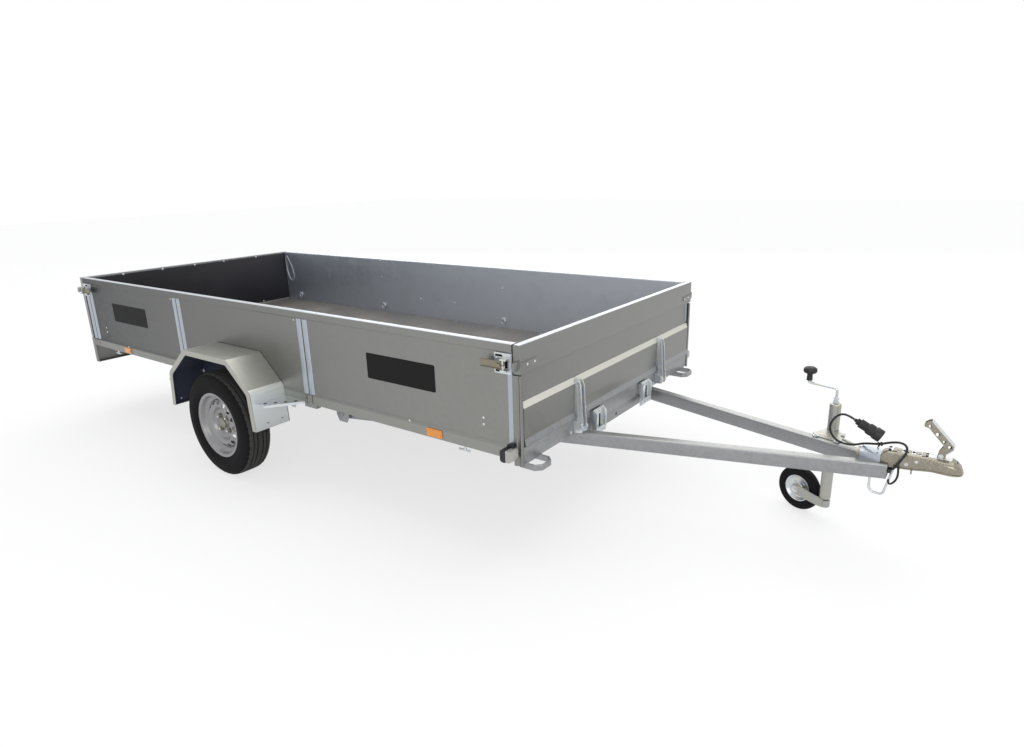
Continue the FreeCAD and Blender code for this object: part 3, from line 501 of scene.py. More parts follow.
def heads(name, kind, body, finish, places, height):
    """Heads at (x, y, z, way, radius) in axle millimetres. Height is a share of the radius."""
    mesh = bpy.data.meshes.new(name)
    mesh.from_pydata([placed(p) for p in places], [], [])
    mesh.attributes.new("dir", "FLOAT_VECTOR", "POINT")
    mesh.attributes.new("size", "FLOAT", "POINT")
    for i, p in enumerate(places):
        mesh.attributes["dir"].data[i].vector = Vector(p[3])
        mesh.attributes["size"].data[i].value = p[4] / 1000
    obj = linked(name, mesh)
    tree = head_tree(kind)
    mod = obj.modifiers.new("heads", "NODES")
    mod.node_group = tree
    keys = {item.name: item.identifier for item in tree.interface.items_tree if item.in_out == "INPUT"}
    mod[keys["Height"]] = height
    mod[keys["Finish"]] = MATERIALS[finish]
    mesh = baked(obj).data
    bpy.data.objects.remove(obj)
    return piece(mesh, name, body, finish)


# Materials

class Finish:
    """A material on Object coordinates with one Principled shader."""

    def __init__(self, name, slot, color, rough, metal=0.0, **fixed):
        self.mat = bpy.data.materials.new(name)
        self.mat["slot"] = slot
        self.mat.use_nodes = True
        self.tree = self.mat.node_tree
        self.tree.nodes.clear()
        self.shader = self.node("ShaderNodeBsdfPrincipled", Base_Color=color, Roughness=rough, Metallic=metal, **fixed)
        self.node("ShaderNodeOutputMaterial", Surface=self.shader.outputs[0])
        self.place = self.node("ShaderNodeTexCoord").outputs["Object"]
        self.mat.diffuse_color = (*color, 1)

    def node(self, kind, settings=None, **sockets):
        return add_node(self.tree, kind, settings, **sockets)

    def noise(self, scale, detail=3.0, rough=0.55, stretch=None):
        place = self.node("ShaderNodeMapping", Vector=self.place, Scale=stretch).outputs[0] if stretch else self.place
        node = self.node("ShaderNodeTexNoise", Vector=place, Scale=scale, Detail=detail, Roughness=rough)
        return Value(self.tree, node.outputs[0])

    def cells(self, scale, feature="F1", output="Distance"):
        node = self.node("ShaderNodeTexVoronoi", {"feature": feature}, Vector=self.place, Scale=scale)
        return node.outputs[output]

    def axis(self, letter):
        """One coordinate of the place, in metres."""
        node = self.node("ShaderNodeSeparateXYZ", Vector=self.place)
        return Value(self.tree, node.outputs["XYZ".index(letter)])

    def ramp(self, value, stops):
        """Grey levels by value, as (position, level)."""
        node = self.node("ShaderNodeValToRGB", Fac=value)
        items = node.color_ramp.elements
        while len(items) < len(stops):
            items.new(0.5)
        for item, (pos, shade) in zip(items, stops):
            item.position = pos
            item.color = (shade, shade, shade, 1)
        return Value(self.tree, node.outputs[0])

    def mix(self, factor, a, b):
        """Colour a where the factor is 0 and b where it is 1."""
        node = self.node("ShaderNodeMix", {"data_type": "RGBA"})
        for index, value in ((0, factor), (6, a), (7, b)):
            feed(self.tree, node.inputs[index], value)
        return Value(self.tree, node.outputs[2])

    def zoned(self, tone, zones):
        """The tone with each zone's own tone over it."""
        for mask, other in (zones(self) if zones else []):
            tone = self.mix(mask, tone, other)
        return tone

    def color(self, value):
        feed(self.tree, self.shader.inputs["Base Color"], value)

    def rough(self, value):
        feed(self.tree, self.shader.inputs["Roughness"], value)

    def bump(self, height, strength, distance):
        node = self.node("ShaderNodeBump", Height=height, Strength=strength, Distance=distance)
        feed(self.tree, self.shader.inputs["Normal"], node.outputs[0])


def tint(color, k):
    """The colour, darker or lighter by the factor k."""
    return tuple(min(1.0, c * k) for c in color)


def galvanised(name, slot, color, rough, metal, spangle, contrast, streak, zones=None):
    """Zinc: soft crystals, cloudy patches and faint rolling streaks. Zones lay other tones over some faces, such as
    painted highlights, painted reflections and painted shade.
    """
    f = Finish(name, slot, color, rough, metal)
    crystal = Value(f.tree, f.node("ShaderNodeRGBToBW", Color=f.cells(spangle, output="Color")).outputs[0])
    cloud = f.noise(5.0, 4.0, 0.6)
    rolled = f.noise(3.0, 5.0, 0.7, (2.0, 2.0, 60.0))
    shade = crystal * contrast + cloud * (contrast * 1.4) + rolled * streak
    low = 0.5 * (contrast * 2.4 + streak)
    amount = ((shade - low) * 2.2 + 0.5).clamped()
    tone = f.mix(amount, tint(color, 1 - contrast * 1.3), tint(color, 1 + contrast * 1.3))
    f.color(f.zoned(tone, zones))
    f.rough((crystal * 0.10 + cloud * 0.14 + (rough - 0.12)).clamped())
    f.bump(crystal * 0.5 + f.noise(240.0, 2.0) * 0.5, 0.12, 0.0006)
    return f.mat


def painted_top_highlight(level, tone, band=1.4):
    """A zone with a painted highlight on the faces that lie within a band at the top of a section."""
    return lambda f: [((f.axis("Z") > (level - band) / 1000) * (f.axis("Z") < (level + band) / 1000), tone)]


def wall_tones_and_painted_light(f):
    """Painted light on the sides: painted shade darkens the panels to the rear, the inner faces get a bluish painted
    reflection that is darker to the rear, and the rim gets a painted highlight. The foot is lighter.
    """
    inside = f.axis("Y").math("ABSOLUTE") < (INNER + 1) / 1000
    along = ((f.axis("X") - placed((WALL_X0, 0, 0)).x) / ((WALL_X1 - WALL_X0) / 1000)).clamped()
    foot = (f.axis("Z") < (SIDE_Z + 44) / 1000) * 0.8
    # Painted shade towards the rear, a lighter foot, a bluish painted reflection on the inner faces and a painted
    # highlight on the rim.
    return [((1 - along).math("POWER", 1.6) * 0.95, (0.034, 0.037, 0.042)), (foot, (0.29, 0.295, 0.27)),
            (inside, f.mix(along, (0.42, 0.47, 0.54), (0.62, 0.65, 0.70)))] + painted_top_highlight(TOP_Z, PAINTED_RIM_HIGHLIGHT)(f)


def fender_painted_highlight(f):
    """A near-white painted highlight on the front leg, brightest just under its bend, and a bluish painted reflection
    on its lower part.
    """
    leg = f.axis("X") > placed((R + 70, 0, 0)).x
    side = f.axis("Y").math("ABSOLUTE") < (WHEEL_Y + TYRE_W / 2 - 0.6) / 1000
    low = f.ramp(((f.axis("Z") - (R + 40) / 1000) / 0.4).clamped(),
                 [(0.0, 0.0), (0.36, 0.7), (0.46, 1.0), (0.52, 0.35), (0.8, 0.0)])
    below_bend_reflection = ((R + 236) / 1000 - f.axis("Z") + 0.02) / 0.04
    # The front leg gets a painted highlight, and below the bend a bluish painted reflection.
    return [(leg * side, f.mix(low, (0.84, 0.85, 0.79), (0.93, 0.95, 0.94))),
            (leg * side * below_bend_reflection.clamped() * 0.55, f.mix(low, (0.22, 0.26, 0.30), (0.80, 0.86, 0.92)))]


def tread_zones(f):
    """The running face is scuffed grey."""
    hub = placed((0, 0, R))
    along = f.axis("X") - hub.x
    up = f.axis("Z") - hub.z
    return [((along * along + up * up) > ((R - 7) / 1000) ** 2, (0.055, 0.054, 0.052))]


def mottled_zinc(name, slot, pale, dark, rough=0.34):
    """Plated steel with small pale and brown patches."""
    f = Finish(name, slot, pale, rough, 0.8)
    patch = f.noise(210.0, 5.0, 0.7)
    cloud = f.noise(34.0, 3.0, 0.6)
    f.color(f.mix((f.ramp(patch, [(0.38, 0.0), (0.66, 1.0)]) * 0.6 + cloud * 0.4).clamped(), dark, pale))
    f.rough((patch * 0.3 + (rough - 0.15)).clamped())
    f.bump(patch * 0.6 + f.noise(420.0) * 0.4, 0.16, 0.0006)
    return f.mat


def bright_zinc(name, slot, color, rough, metal):
    """Plated fittings: slight colour shift between patches and fine scratches."""
    f = Finish(name, slot, color, rough, metal)
    patch = f.noise(38.0, 4.0, 0.6)
    warm = (color[0] * 1.06, color[1] * 1.0, color[2] * 0.86)
    cool = (color[0] * 0.86, color[1] * 0.92, color[2] * 1.02)
    f.color(f.mix(f.ramp(patch, [(0.32, 0.0), (0.68, 1.0)]), cool, warm))
    scratch = f.noise(90.0, 3.0, 0.6, (1.0, 1.0, 14.0))
    f.rough((patch * 0.22 + scratch * 0.12 + (rough - 0.16)).clamped())
    f.bump(scratch * 0.6 + f.noise(420.0) * 0.4, 0.10, 0.0004)
    return f.mat


def plywood(name, slot, color, mesh_pattern):
    """Film faced plywood: fine grain, scuffs, and a wire mesh print on the floor side."""
    f = Finish(name, slot, color, 0.5, 0.0)
    grain = f.noise(9.0, 6.0, 0.62, (1.0, 14.0, 1.0))
    scuff = f.noise(2.6, 5.0, 0.7)
    worn = f.ramp(scuff, [(0.42, 0.0), (0.72, 1.0)])
    f.color(f.mix((grain * 0.5 + worn * 0.5).clamped(), tint(color, 0.72), tint(color, 1.5)))
    f.rough((grain * 0.16 + worn * 0.2 + 0.3).clamped())
    if mesh_pattern:
        net = Value(f.tree, f.cells(150.0, "DISTANCE_TO_EDGE"))
        f.bump((net * 9.0).clamped() + grain * 0.2, 0.45, 0.0008)
    else:
        f.bump(grain + f.noise(300.0) * 0.3, 0.15, 0.0005)
    return f.mat


def rubber(name, slot, color, rough, scale=180.0, zones=None):
    """Dusty black rubber."""
    f = Finish(name, slot, color, rough, 0.0, Specular_IOR_Level=0.12)
    dust = f.noise(14.0, 5.0, 0.65)
    tone = f.mix(f.ramp(dust, [(0.4, 0.0), (0.75, 1.0)]), tint(color, 0.85), tint(color, 1.4))
    f.color(f.zoned(tone, zones))
    f.rough((dust * 0.2 + (rough - 0.1)).clamped())
    f.bump(f.noise(scale, 3.0), 0.2, 0.0006)
    return f.mat


def plastic(name, slot, color, rough=0.45, scale=260.0, gloss=0.4):
    """Moulded plastic with a fine grain."""
    f = Finish(name, slot, color, rough, 0.0, Specular_IOR_Level=gloss)
    tone = f.noise(20.0, 3.0)
    f.color(f.mix(tone, tint(color, 0.85), tint(color, 1.25)))
    f.rough((tone * 0.14 + (rough - 0.07)).clamped())
    f.bump(f.noise(scale, 2.0), 0.18, 0.0004)
    return f.mat


def lens(name, slot, color, rough=0.14):
    """A coloured lens with small prisms."""
    f = Finish(name, slot, color, rough, 0.0, Coat_Weight=0.6, Coat_Roughness=0.08)
    prism = Value(f.tree, f.cells(330.0, "F1"))
    f.color(f.mix((prism * 1.3).clamped(), tint(color, 1.18), tint(color, 0.72)))
    f.rough((prism * 0.12 + rough).clamped())
    f.bump(prism, 0.4, 0.0008)
    return f.mat


def painted(name, slot, color, rough=0.38, metal=0.45):
    """Silver wheel paint with fine flakes."""
    f = Finish(name, slot, color, rough, metal)
    flake = f.noise(520.0, 2.0)
    cloud = f.noise(7.0, 4.0)
    f.color(f.mix((flake * 0.4 + cloud * 0.6).clamped(), tint(color, 0.84), tint(color, 1.14)))
    f.rough((cloud * 0.14 + (rough - 0.07)).clamped())
    f.bump(f.noise(160.0, 2.0), 0.08, 0.0004)
    return f.mat


MATERIALS = {}
PAINTED_RIM_HIGHLIGHT = (0.48, 0.51, 0.55)    # painted highlight on the upper edge of the sides and gates


def build_materials():
    chosen = bpy.context.scene.trailer_finishes

    def tone(key):
        return tuple(getattr(chosen, key))

    MATERIALS.update(
        # The top faces of the gate sheet get a painted highlight.
        sheet=galvanised("zinc_sheet", "zinc_sheet", tone("gate"), 0.38, 0.75, 40.0, 0.11, 0.12, painted_top_highlight(TOP_Z, PAINTED_RIM_HIGHLIGHT)),
        # The sides carry painted shade to the rear, a painted reflection inside and a painted highlight on the rim.
        wall=galvanised("zinc_wall", "zinc_sheet", tone("walls"), 0.38, 0.75, 40.0, 0.11, 0.12, wall_tones_and_painted_light),
        frame=galvanised("zinc_frame", "zinc_frame", tone("frame"), 0.42, 0.7, 75.0, 0.18, 0.05),
        # A bright bluish zinc whose tone is a painted sky reflection, for the post ridges, flutes, gate end and nose
        # box.
        post=galvanised("zinc_post_painted_reflection", "zinc_frame", (0.40, 0.44, 0.495), 0.34, 0.75, 75.0, 0.10, 0.08),
        # The pale tone of the ridge strip is a painted highlight on its upward slope.
        pale=galvanised("zinc_ridge_painted_highlight", "zinc_sheet", (0.68, 0.67, 0.60), 0.45, 0.3, 60.0, 0.05, 0.03),
        # The fenders' front legs get a painted highlight and a bluish painted reflection.
        fender=galvanised("zinc_fender", "zinc_sheet", tone("fenders"), 0.40, 0.7, 45.0, 0.08, 0.05, fender_painted_highlight),
        # The tops of the drawbar tubes get a painted highlight.
        tube=galvanised("zinc_tube", "zinc_frame", (0.285, 0.29, 0.30), 0.40, 0.65, 80.0, 0.16, 0.06,
                        painted_top_highlight(TUBE_Z1, (0.34, 0.345, 0.335))),
        fitting=bright_zinc("zinc_bright", "zinc_bright", tone("fittings"), 0.32, 0.75),
        lever=bright_zinc("zinc_lever", "zinc_gold", (0.26, 0.235, 0.18), 0.42, 0.7),
        jack=bright_zinc("zinc_jack", "zinc_bright", (0.40, 0.40, 0.375), 0.36, 0.8),
        wire=bright_zinc("steel_wire", "wire_steel", (0.82, 0.84, 0.86), 0.4, 0.6),
        gold=mottled_zinc("zinc_gold", "zinc_gold", tone("coupling"), (0.17, 0.15, 0.105)),
        bronze=mottled_zinc("zinc_bronze", "zinc_gold", (0.40, 0.385, 0.34), (0.20, 0.185, 0.15), 0.42),
        board=plywood("plywood_board", "plywood", (0.0135, 0.0115, 0.017), False),
        floor=plywood("plywood_floor", "plywood", tone("floor"), True),
        tyre=rubber("tyre_rubber", "tyre", (0.0065, 0.0065, 0.0075), 0.75, 220.0, tread_zones),
        rubber=rubber("solid_rubber", "black_rubber", (0.006, 0.006, 0.007), 0.65),
        rim=painted("rim_silver", "rim_silver", tone("rims")),
        plastic=plastic("black_plastic", "black_plastic", (0.014, 0.014, 0.016)),
        # Dark navy sheet that paints the shade inside the wheel houses.
        arch=plastic("wheel_house_painted_shade", "black_plastic", (0.022, 0.026, 0.048), 0.7),
        plug=plastic("plug_shell", "black_plastic", (0.018, 0.018, 0.019), 0.55),
        plate=plastic("white_plate", "white_plate", (0.72, 0.72, 0.72), 0.4),
        cable=plastic("cable_jacket", "cable_black", (0.010, 0.010, 0.012), 0.5),
        sticker=plastic("sticker_film", "black_plastic", (0.008, 0.008, 0.008), 0.55, 260.0, 0.12),
        amber=lens("amber_lens", "amber", (0.86, 0.30, 0.02)),
        red=lens("red_lens", "red_lens", (0.42, 0.012, 0.012)),
        clear=lens("white_lens", "white_lens", (0.42, 0.41, 0.38)),
    )


NODE_FINISH = {
    "sheet": "side_wall_left side_wall_right light_panel front_gate fender_left fender_right",
    "frame": "corner_posts cross_members front_beam tailgate_frame fender_gussets axle_beam axle_arms drawbar "
             "pivot_brackets nose_box front_loops",
    "fitting": "gate_straps strap_brackets lock_plates tailgate_hinges front_catches rear_catches hub_left hub_right "
               "nose_rod jockey_clamp jockey_tube jockey_leg jockey_fork jockey_disc lashing_rings rope_hooks",
    "gold": "coupling coupling_handle", "lever": "latches", "rim": "rim_left rim_right",
    "tyre": "tyre_left tyre_right", "rubber": "jockey_tyre", "floor": "floor", "board": "tailgate_board",
    "plastic": "tail_lamp_bases jockey_knob marker_bases plug", "red": "tail_lamp_lenses", "clear": "marker_lenses",
    "amber": "side_reflectors", "plate": "number_plate", "cable": "electric_cable safety_cable", "wire": "gate_wires",
}


def cover_nodes():
    """Gives each CAD node its finish."""
    for finish, nodes in NODE_FINISH.items():
        for node in nodes.split():
            slots = frame["nodes"][node].data.materials
            slots.clear()
            slots.append(MATERIALS[finish])


def chosen_size(key):
    """One of the sizes in the panel, in metres."""
    return round(getattr(bpy.context.scene.trailer_sizes, key), 6)


# Load bed

def wall_outline(sign):
    """Section of a side: the rail, the panel set back 4 mm, and the rolled rim."""
    y0 = INNER
    y1 = HALF_W
    rail = SIDE_Z + RAIL_H
    rim = TOP_Z - RIM_H
    pts = [(y0, SIDE_Z), (y1 - 1, SIDE_Z), (y1, SIDE_Z + 1.5), (y1, rail - 3), (y1 - 1.5, rail), (y1 - 4, rail + 1.5),
           (y1 - 4, rim - 1.5), (y1 - 1.5, rim), (y1, rim + 3), (y1, TOP_Z - 4), (y1 - 1.5, TOP_Z - 1.2),
           (y1 - 5, TOP_Z), (y0 + 5, TOP_Z), (y0 + 1.5, TOP_Z - 1.2), (y0, TOP_Z - 4)]
    return [(sign * y, z) for y, z in pts]


def flute(shape, x, width, z0, z1):
    """A rounded pressed ridge that stands 4 mm off the panel."""
    y = HALF_W - 4.5
    pts = [(x - width / 2, y), (x - width / 2 + 5, HALF_W - 0.4), (x - 2, HALF_W), (x + 2, HALF_W),
           (x + width / 2 - 5, HALF_W - 0.4), (x + width / 2, y)]
    shape.prism(filleted(pts, [0, 3, 0, 0, 3, 0], 3), "z", z0, z1)


def build_walls():
    for name, sign in SIDES:
        shape = Shape().prism(wall_outline(sign), "x", WALL_X0, WALL_X1)
        piece(shape, "side_panel_" + name, "bed", "wall", angle=24, stands_for=("side_wall_" + name,))
    posts = Shape()
    centres = Shape()
    lines = Shape()
    low = SIDE_Z + 1
    high = TOP_Z - RIM_H - 1
    for x, width in ((-POST_X, 90), (POST_X, 90), (WALL_X0 + 60, 100)):
        flute(posts, x - width * 0.25, width * 0.42, low, high)
        flute(posts, x + width * 0.25, width * 0.42, low, high)
        centres.box(x - width * 0.06, x + width * 0.06, HALF_W - 4.6, HALF_W - 3.2, low, high)
        lines.box(x - 1.3, x + 1.3, HALF_W - 3.6, HALF_W - 2.8, low, high)
    # The post ridges' bright bluish tone is a painted reflection.
    piece(posts.mirror(), "wall_posts", "bed", "post", 0.6)
    piece(centres.mirror(), "post_middles", "bed", "sheet")
    piece(lines.mirror(), "post_lines", "bed", "rubber")
    corner = Shape()
    y0 = HALF_W - CORNER_W
    y = HALF_W
    plan = [(WALL_X1, y0), (WALL_X1 + 4, y0), (WALL_X1 + 4, y - 8), (X_FRONT - 4, y - 8), (X_FRONT - 4, y0),
            (X_FRONT - 1, y0), (X_FRONT, y0 + 1), (X_FRONT, y - 3), (X_FRONT - 1, y - 0.8), (X_FRONT - 3, y),
            (X_FRONT - 5, y - 0.8), (X_FRONT - 7, y - 4), (WALL_X1 + 18, y - 4), (WALL_X1 + 15, y - 0.8),
            (WALL_X1 + 12, y), (WALL_X1, y)]
    corner.prism(plan, "z", BEAM_Z0 - 5, BAND_Z - 5)
    piece(corner.mirror(), "corner_skins", "bed", "sheet", angle=28, stands_for=("corner_posts",))
    flutes = Shape()
    flutes.prism([(WALL_X1 - 27, y - 4.4), (WALL_X1 - 22, y - 0.8), (WALL_X1 - 18, y), (WALL_X1 + 0.5, y),
                  (WALL_X1 + 0.5, y - 4.4)], "z", low + RAIL_H, high)
    # The corner flutes carry the bluish painted reflection too.
    piece(flutes.mirror(), "corner_flutes", "bed", "post", angle=28)
    feet = Shape().prism(rounded(HALF_W - 30, HALF_W, SIDE_Z - 20, SIDE_Z + 2, 3), "x", POST_X - 45, POST_X + 45)
    piece(feet.mirror(), "post_feet", "bed", "frame", 0.8)


def build_bed_frame():
    for node, finish, bevel in (
            ("front_beam", "frame", 1.6), ("cross_members", "frame", 1.0), ("light_panel", "sheet", 1.4),
            ("front_loops", "frame", 1.6), ("axle_beam", "frame", 1.6), ("axle_arms", "frame", 3.0),
            ("pivot_brackets", "frame", 1.6), ("strap_brackets", "fitting", 1.0), ("rope_hooks", "fitting", 0.8),
            ("floor", "floor", 1.0)):
        softened(node, "bed", finish, bevel)
    seam = Shape()
    for sign in (1, -1):
        y = sign * (HALF_W - 3.6)
        seam.box(X_FRONT - 9, X_FRONT - 6, y, y - sign, BEAM_Z0 - 4, BAND_Z - 6)
        y = sign * (HALF_W + 0.02)
        seam.box(WALL_X0 + 8, WALL_X0 + 10.5, y, y - sign, SIDE_Z + 2, TOP_Z - 46)
    piece(seam, "corner_seams", "bed", "rubber")


def bed_heads():
    rivets = []
    bolts = []
    screws = []
    for s in (1, -1):
        out = (0, s, 0)
        into = (0, -s, 0)
        skin = s * (HALF_W - 4)
        for x, z in ((1710, 616), (1710, 587), (-1585, 614), (-1585, 584), (1290, 520), (-1300, 516)):
            rivets.append((x, skin if z > 530 else s * HALF_W, z, out, 5.5))
        for x in (-POST_X, POST_X):
            rivets.append((x - 62, skin, TOP_Z - 48, out, 4.5))
            rivets.append((x + 12, skin, TOP_Z - 44, out, 4.5))
            rivets.append((x - 8, s * INNER, TOP_Z - 12, into, 6))
            rivets.append((x - 8, s * INNER, TOP_Z - 137, into, 6))
        for x, z in ((-190, 668), (145, 666)):
            rivets.append((x, s * INNER, z, into, 5.5))
        for x, z in ((-300, 590), (-185, 662), (60, 664), (150, 655), (300, 500), (-330, 480)):
            bolts.append((x, s * (HALF_W - 1), z, out, 7))
        for i in range(10):
            screws.append((-1680 + i * 370, s * (INNER - 26), FLOOR_Z, (0, 0, 1), 6))
        bolts.append((1700, s * (HALF_W - 20), SIDE_Z - 1, (0, 0, -1), 7))
        for y in (STRAP_Y - 42, STRAP_Y + 44):
            bolts.append((X_FRONT - 4, s * y, BEAM_Z0 + 14, (1, 0, 0), 7))
    for x in (-1808, 1863):
        for y in (-560, -190, 190, 560):
            screws.append((x + (28 if x < 0 else -28), y, FLOOR_Z, (0, 0, 1), 6))
    heads("bed_rivets", "rivet", "bed", "fitting", rivets, 0.5)
    heads("bed_bolts", "bolt", "bed", "fitting", bolts, 0.6)
    heads("floor_screws", "rivet", "bed", "fitting", screws, 0.22)


def build_front_gate():
    x = X_FRONT
    ridge = SIDE_Z + 217
    low = GATE_LO.z
    panel = [(x - GATE_T, low), (x + 4, low), (x + 6, low + 2), (x + 6, low + 4), (x - 1, low + 30), (x - 2, low + 34),
             (x - 2, ridge - 2), (x - 3, ridge + 1.5), (x - 11, ridge + 23), (x - 12, ridge + 26), (x - 12, BAND_Z),
             (x - GATE_T, BAND_Z)]
    half = HALF_W - CORNER_W - 5
    gate = Shape().prism(panel, "y", -half, half)
    band = [(x - GATE_T, BAND_Z), (x - 1.5, BAND_Z), (x, BAND_Z + 2), (x, TOP_Z - 5), (x - 1.5, TOP_Z - 1.5),
            (x - 6, TOP_Z), (x - GATE_T + 5, TOP_Z), (x - GATE_T + 1, TOP_Z - 1.5), (x - GATE_T, TOP_Z - 5)]
    gate.prism(band, "y", -HALF_W + 2, HALF_W - 2)
    slots = Shape()
    for s in (-1, 1):
        slots.box(x - 2, x + 8, s * (STRAP_Y - 24), s * (STRAP_Y + 24), BEAM_Z1, BEAM_Z1 + 46)
    piece(gate, "front_gate_panel", "front_gate", "sheet", angle=20, stands_for=("front_gate",), cuts=(slots,))
    # A thin pale strip that paints a highlight on the upward slope of the ridge.
    strip = Shape()
    strip.prism([(x - 3.4, ridge), (x - 2.4, ridge - 1.5), (x - 1.9, ridge - 1.5), (x - 2.6, ridge + 1.9),
                 (x - 10.6, ridge + 24.2), (x - 11.4, ridge + 24.6)], "y", -half + 1, half - 1)
    piece(strip, "front_gate_ridge", "front_gate", "pale")
    # A thin strip of lighter zinc that paints a highlight on the outward sloping ledge.
    ledge_highlight = Shape()
    for y0, y1 in ((-half, -STRAP_Y - 26), (-STRAP_Y + 26, STRAP_Y - 26), (STRAP_Y + 26, half)):
        ledge_highlight.prism([(x + 5.5, low + 3), (x + 6.4, low + 4), (x - 0.4, low + 30.4), (x - 1.4, low + 30)], "y", y0, y1)
    piece(ledge_highlight, "front_gate_ledge_highlight", "front_gate", "frame")
    end = Shape().box(x - 12.5, x - 9.5, half - 1, half - 26, ridge + 32, BAND_Z)
    # The gate's end strip carries the bluish painted reflection.
    piece(end, "front_gate_end", "front_gate", "post", 0.5)
    softened("gate_straps", "front_gate", "fitting", 1.2, 3)
    places = []
    for s in (1, -1):
        places += [(x + 3, s * 792, TOP_Z - 83, (1, 0, 0), 5), (x + 3, s * 742, TOP_Z - 83, (1, 0, 0), 5)]
        places += [(x - 2, s * STRAP_Y, SIDE_Z + 240, (1, 0, 0), 6)]
    heads("front_gate_rivets", "rivet", "front_gate", "fitting", places, 0.5)
    # Thin dark strips on the straps paint the shade in their slots.
    slots = Shape()
    bolts = []
    for s in (1, -1):
        y = s * STRAP_Y
        slots.box(x + 2.02, x + 2.6, y - 4, y + 4, SIDE_Z + 120, SIDE_Z + 196)
        bolts.append((x + 2, y, SIDE_Z + 213, (1, 0, 0), 8))
    piece(slots, "strap_slot_painted_shade", "front_gate", "rubber")
    heads("strap_bolts", "bolt", "front_gate", "fitting", bolts, 0.7)
    # Thin dark strips on the lock plates paint the shade in their slots.
    lock_slot_shade = Shape()
    bolts = []
    for s in (1, -1):
        z0 = TUBE_Z0 + 8
        for y in (s * 232, s * 262):
            lock_slot_shade.box(x + 10.02, x + 10.6, y - 6, y + 6, z0 + 34, BEAM_Z1 - 34)
            bolts.append((x + 10, y, BEAM_Z1 - 18, (1, 0, 0), 7))
        bolts.append((x + 10, s * 247, z0 + 14, (1, 0, 0), 8))
    piece(lock_slot_shade, "lock_slot_painted_shade", "bed", "rubber")
    heads("lock_bolts", "bolt", "bed", "fitting", bolts, 0.6)


def build_tailgate():
    softened("tailgate_board", "tailgate", "board", 0.8)
    softened("tailgate_frame", "tailgate", "frame", 1.2)
    inside = X_REAR + GATE_T
    rivets = []
    for y in (-563, -275, -21, 227, 522):
        rivets.append((inside, y, TOP_Z - 13, (1, 0, 0), 8))
        rivets.append((inside, y + 20, FLOOR_Z + 16, (1, 0, 0), 7))
        rivets.append((X_REAR, y, TOP_Z - 26, (-1, 0, 0), 5))
        rivets.append((X_REAR, y, 560, (-1, 0, 0), 5))
    for y in (-560, 0, 560):
        for d in (-33, 33):
            rivets.append((X_REAR, y + d, 551, (-1, 0, 0), 5))
    heads("tailgate_rivets", "rivet", "tailgate", "fitting", rivets, 0.45)
    sill = Shape().box(inside, inside + 1.2, -HALF_W + 18, HALF_W - 18, FLOOR_Z - 2, FLOOR_Z + 7)
    piece(sill, "tailgate_sill", "tailgate", "fitting")
    softened("tailgate_hinges", "bed", "fitting", 0.8)


def build_latches():
    """Corner latches: a plate with two ears, a lever with folded edges, dark sheets that paint the shade in their
    slots, and their pins.
    """
    z = LATCH_Z
    plates = Shape()
    levers = Shape()
    slots = Shape()
    pins = []
    for s, edge in ((1, WALL_X1), (-1, WALL_X0)):
        def bar(shape, x0, x1, y0, y1, z0, z1, r):
            shape.prism(rounded(edge - s * x0, edge - s * x1, z0, z1, r), "y", HALF_W + y0, HALF_W + y1)

        bar(plates, 2, 82, -0.5, 3.5, z - 40, z + 43, 6)
        for dz in (-24, 20):
            bar(plates, 6, 36, 3, 31.5, z + dz, z + dz + 6, 1)
        bar(plates, 66, 80, 3, 22, z - 8, z + 8, 3)
        for dz in (28, -34):
            bar(slots, 42, 76, 3, 4.2, z + dz, z + dz + 8, 3)
        bar(slots, 17, 30, 3, 4.4, z - 16, z + 18, 4)
        bar(levers, 24, 136, 22, 24.4, z - 16, z + 16, 4)
        bar(levers, 30, 134, 22, 30, z + 13.8, z + 16, 0.8)
        bar(levers, 30, 134, 22, 30, z - 16, z - 13.8, 0.8)
        bar(levers, 36, 58, 24, 30, z - 7, z + 7, 2)
        levers.ring((edge - s * 26, HALF_W + 24, z), (0, 0, 1), 5.0, 2.4, 16, 8)
        plates.rod((edge - s * 26, HALF_W + 24, z - 26), (edge - s * 26, HALF_W + 24, z + 28), 3.6, 12, 0.8)
        for x, dz in ((72, 20), (72, -20), (10, 34), (10, -32)):
            pins.append((edge - s * x, HALF_W + 3.4, z + dz, (0, 1, 0), 3.6))
    pins += [(x, -y, h, (0, -1, 0), r) for x, y, h, _, r in pins]
    piece(plates.mirror(), "latch_plates", "bed", "fitting", 0.5, stands_for=("latches",))
    piece(levers.mirror(), "latch_levers", "bed", "lever", 0.4)
    # Dark sheets on the plates paint the shade in the latch slots.
    piece(slots.mirror(), "latch_slot_painted_shade", "bed", "rubber")
    heads("latch_pins", "rivet", "bed", "fitting", pins, 0.5)
    softened("front_catches", "front_gate", "sheet", 0.8)
    softened("rear_catches", "tailgate", "fitting", 0.8)


def build_stickers():
    shape = Shape()
    for ends in STICKER_X:
        pts = rounded(*ends, *STICKER_Z, 7)
        shape.prism(pts, "y", -HALF_W + 4.2, -HALF_W + 3.4)
        shape.prism(pts, "y", HALF_W - 4.2, HALF_W - 3.4)
    piece(shape, "side_stickers", "bed", "sticker")


# Fenders, axle and wheels

def fender_outline(inset, radius=26.0):
    """Five-sided arch over the wheel, drawn in by inset, as (x, z)."""
    half = R + FENDER_REACH - inset
    knee_z = R + FENDER_KNEE - inset * 0.35
    knee_x = R + 98 - inset
    top_x = R - 84 - inset * 0.45
    top_z = 2 * R + FENDER_ABOVE - inset
    low = R + FENDER_BELOW
    back = FENDER_BACK
    pts = [(-half - back, low), (-knee_x - back * 0.7, knee_z), (-top_x, top_z), (top_x, top_z),
           (knee_x - back * 0.7, knee_z), (half - back, low)]
    return filleted(pts, [0, radius + 14, radius, radius, radius + 14, 0], 5)


def arch(shape, outer, inner, y0, y1):
    """A strip between two outlines."""
    shape.prism(outer + inner[::-1], "y", y0, y1)


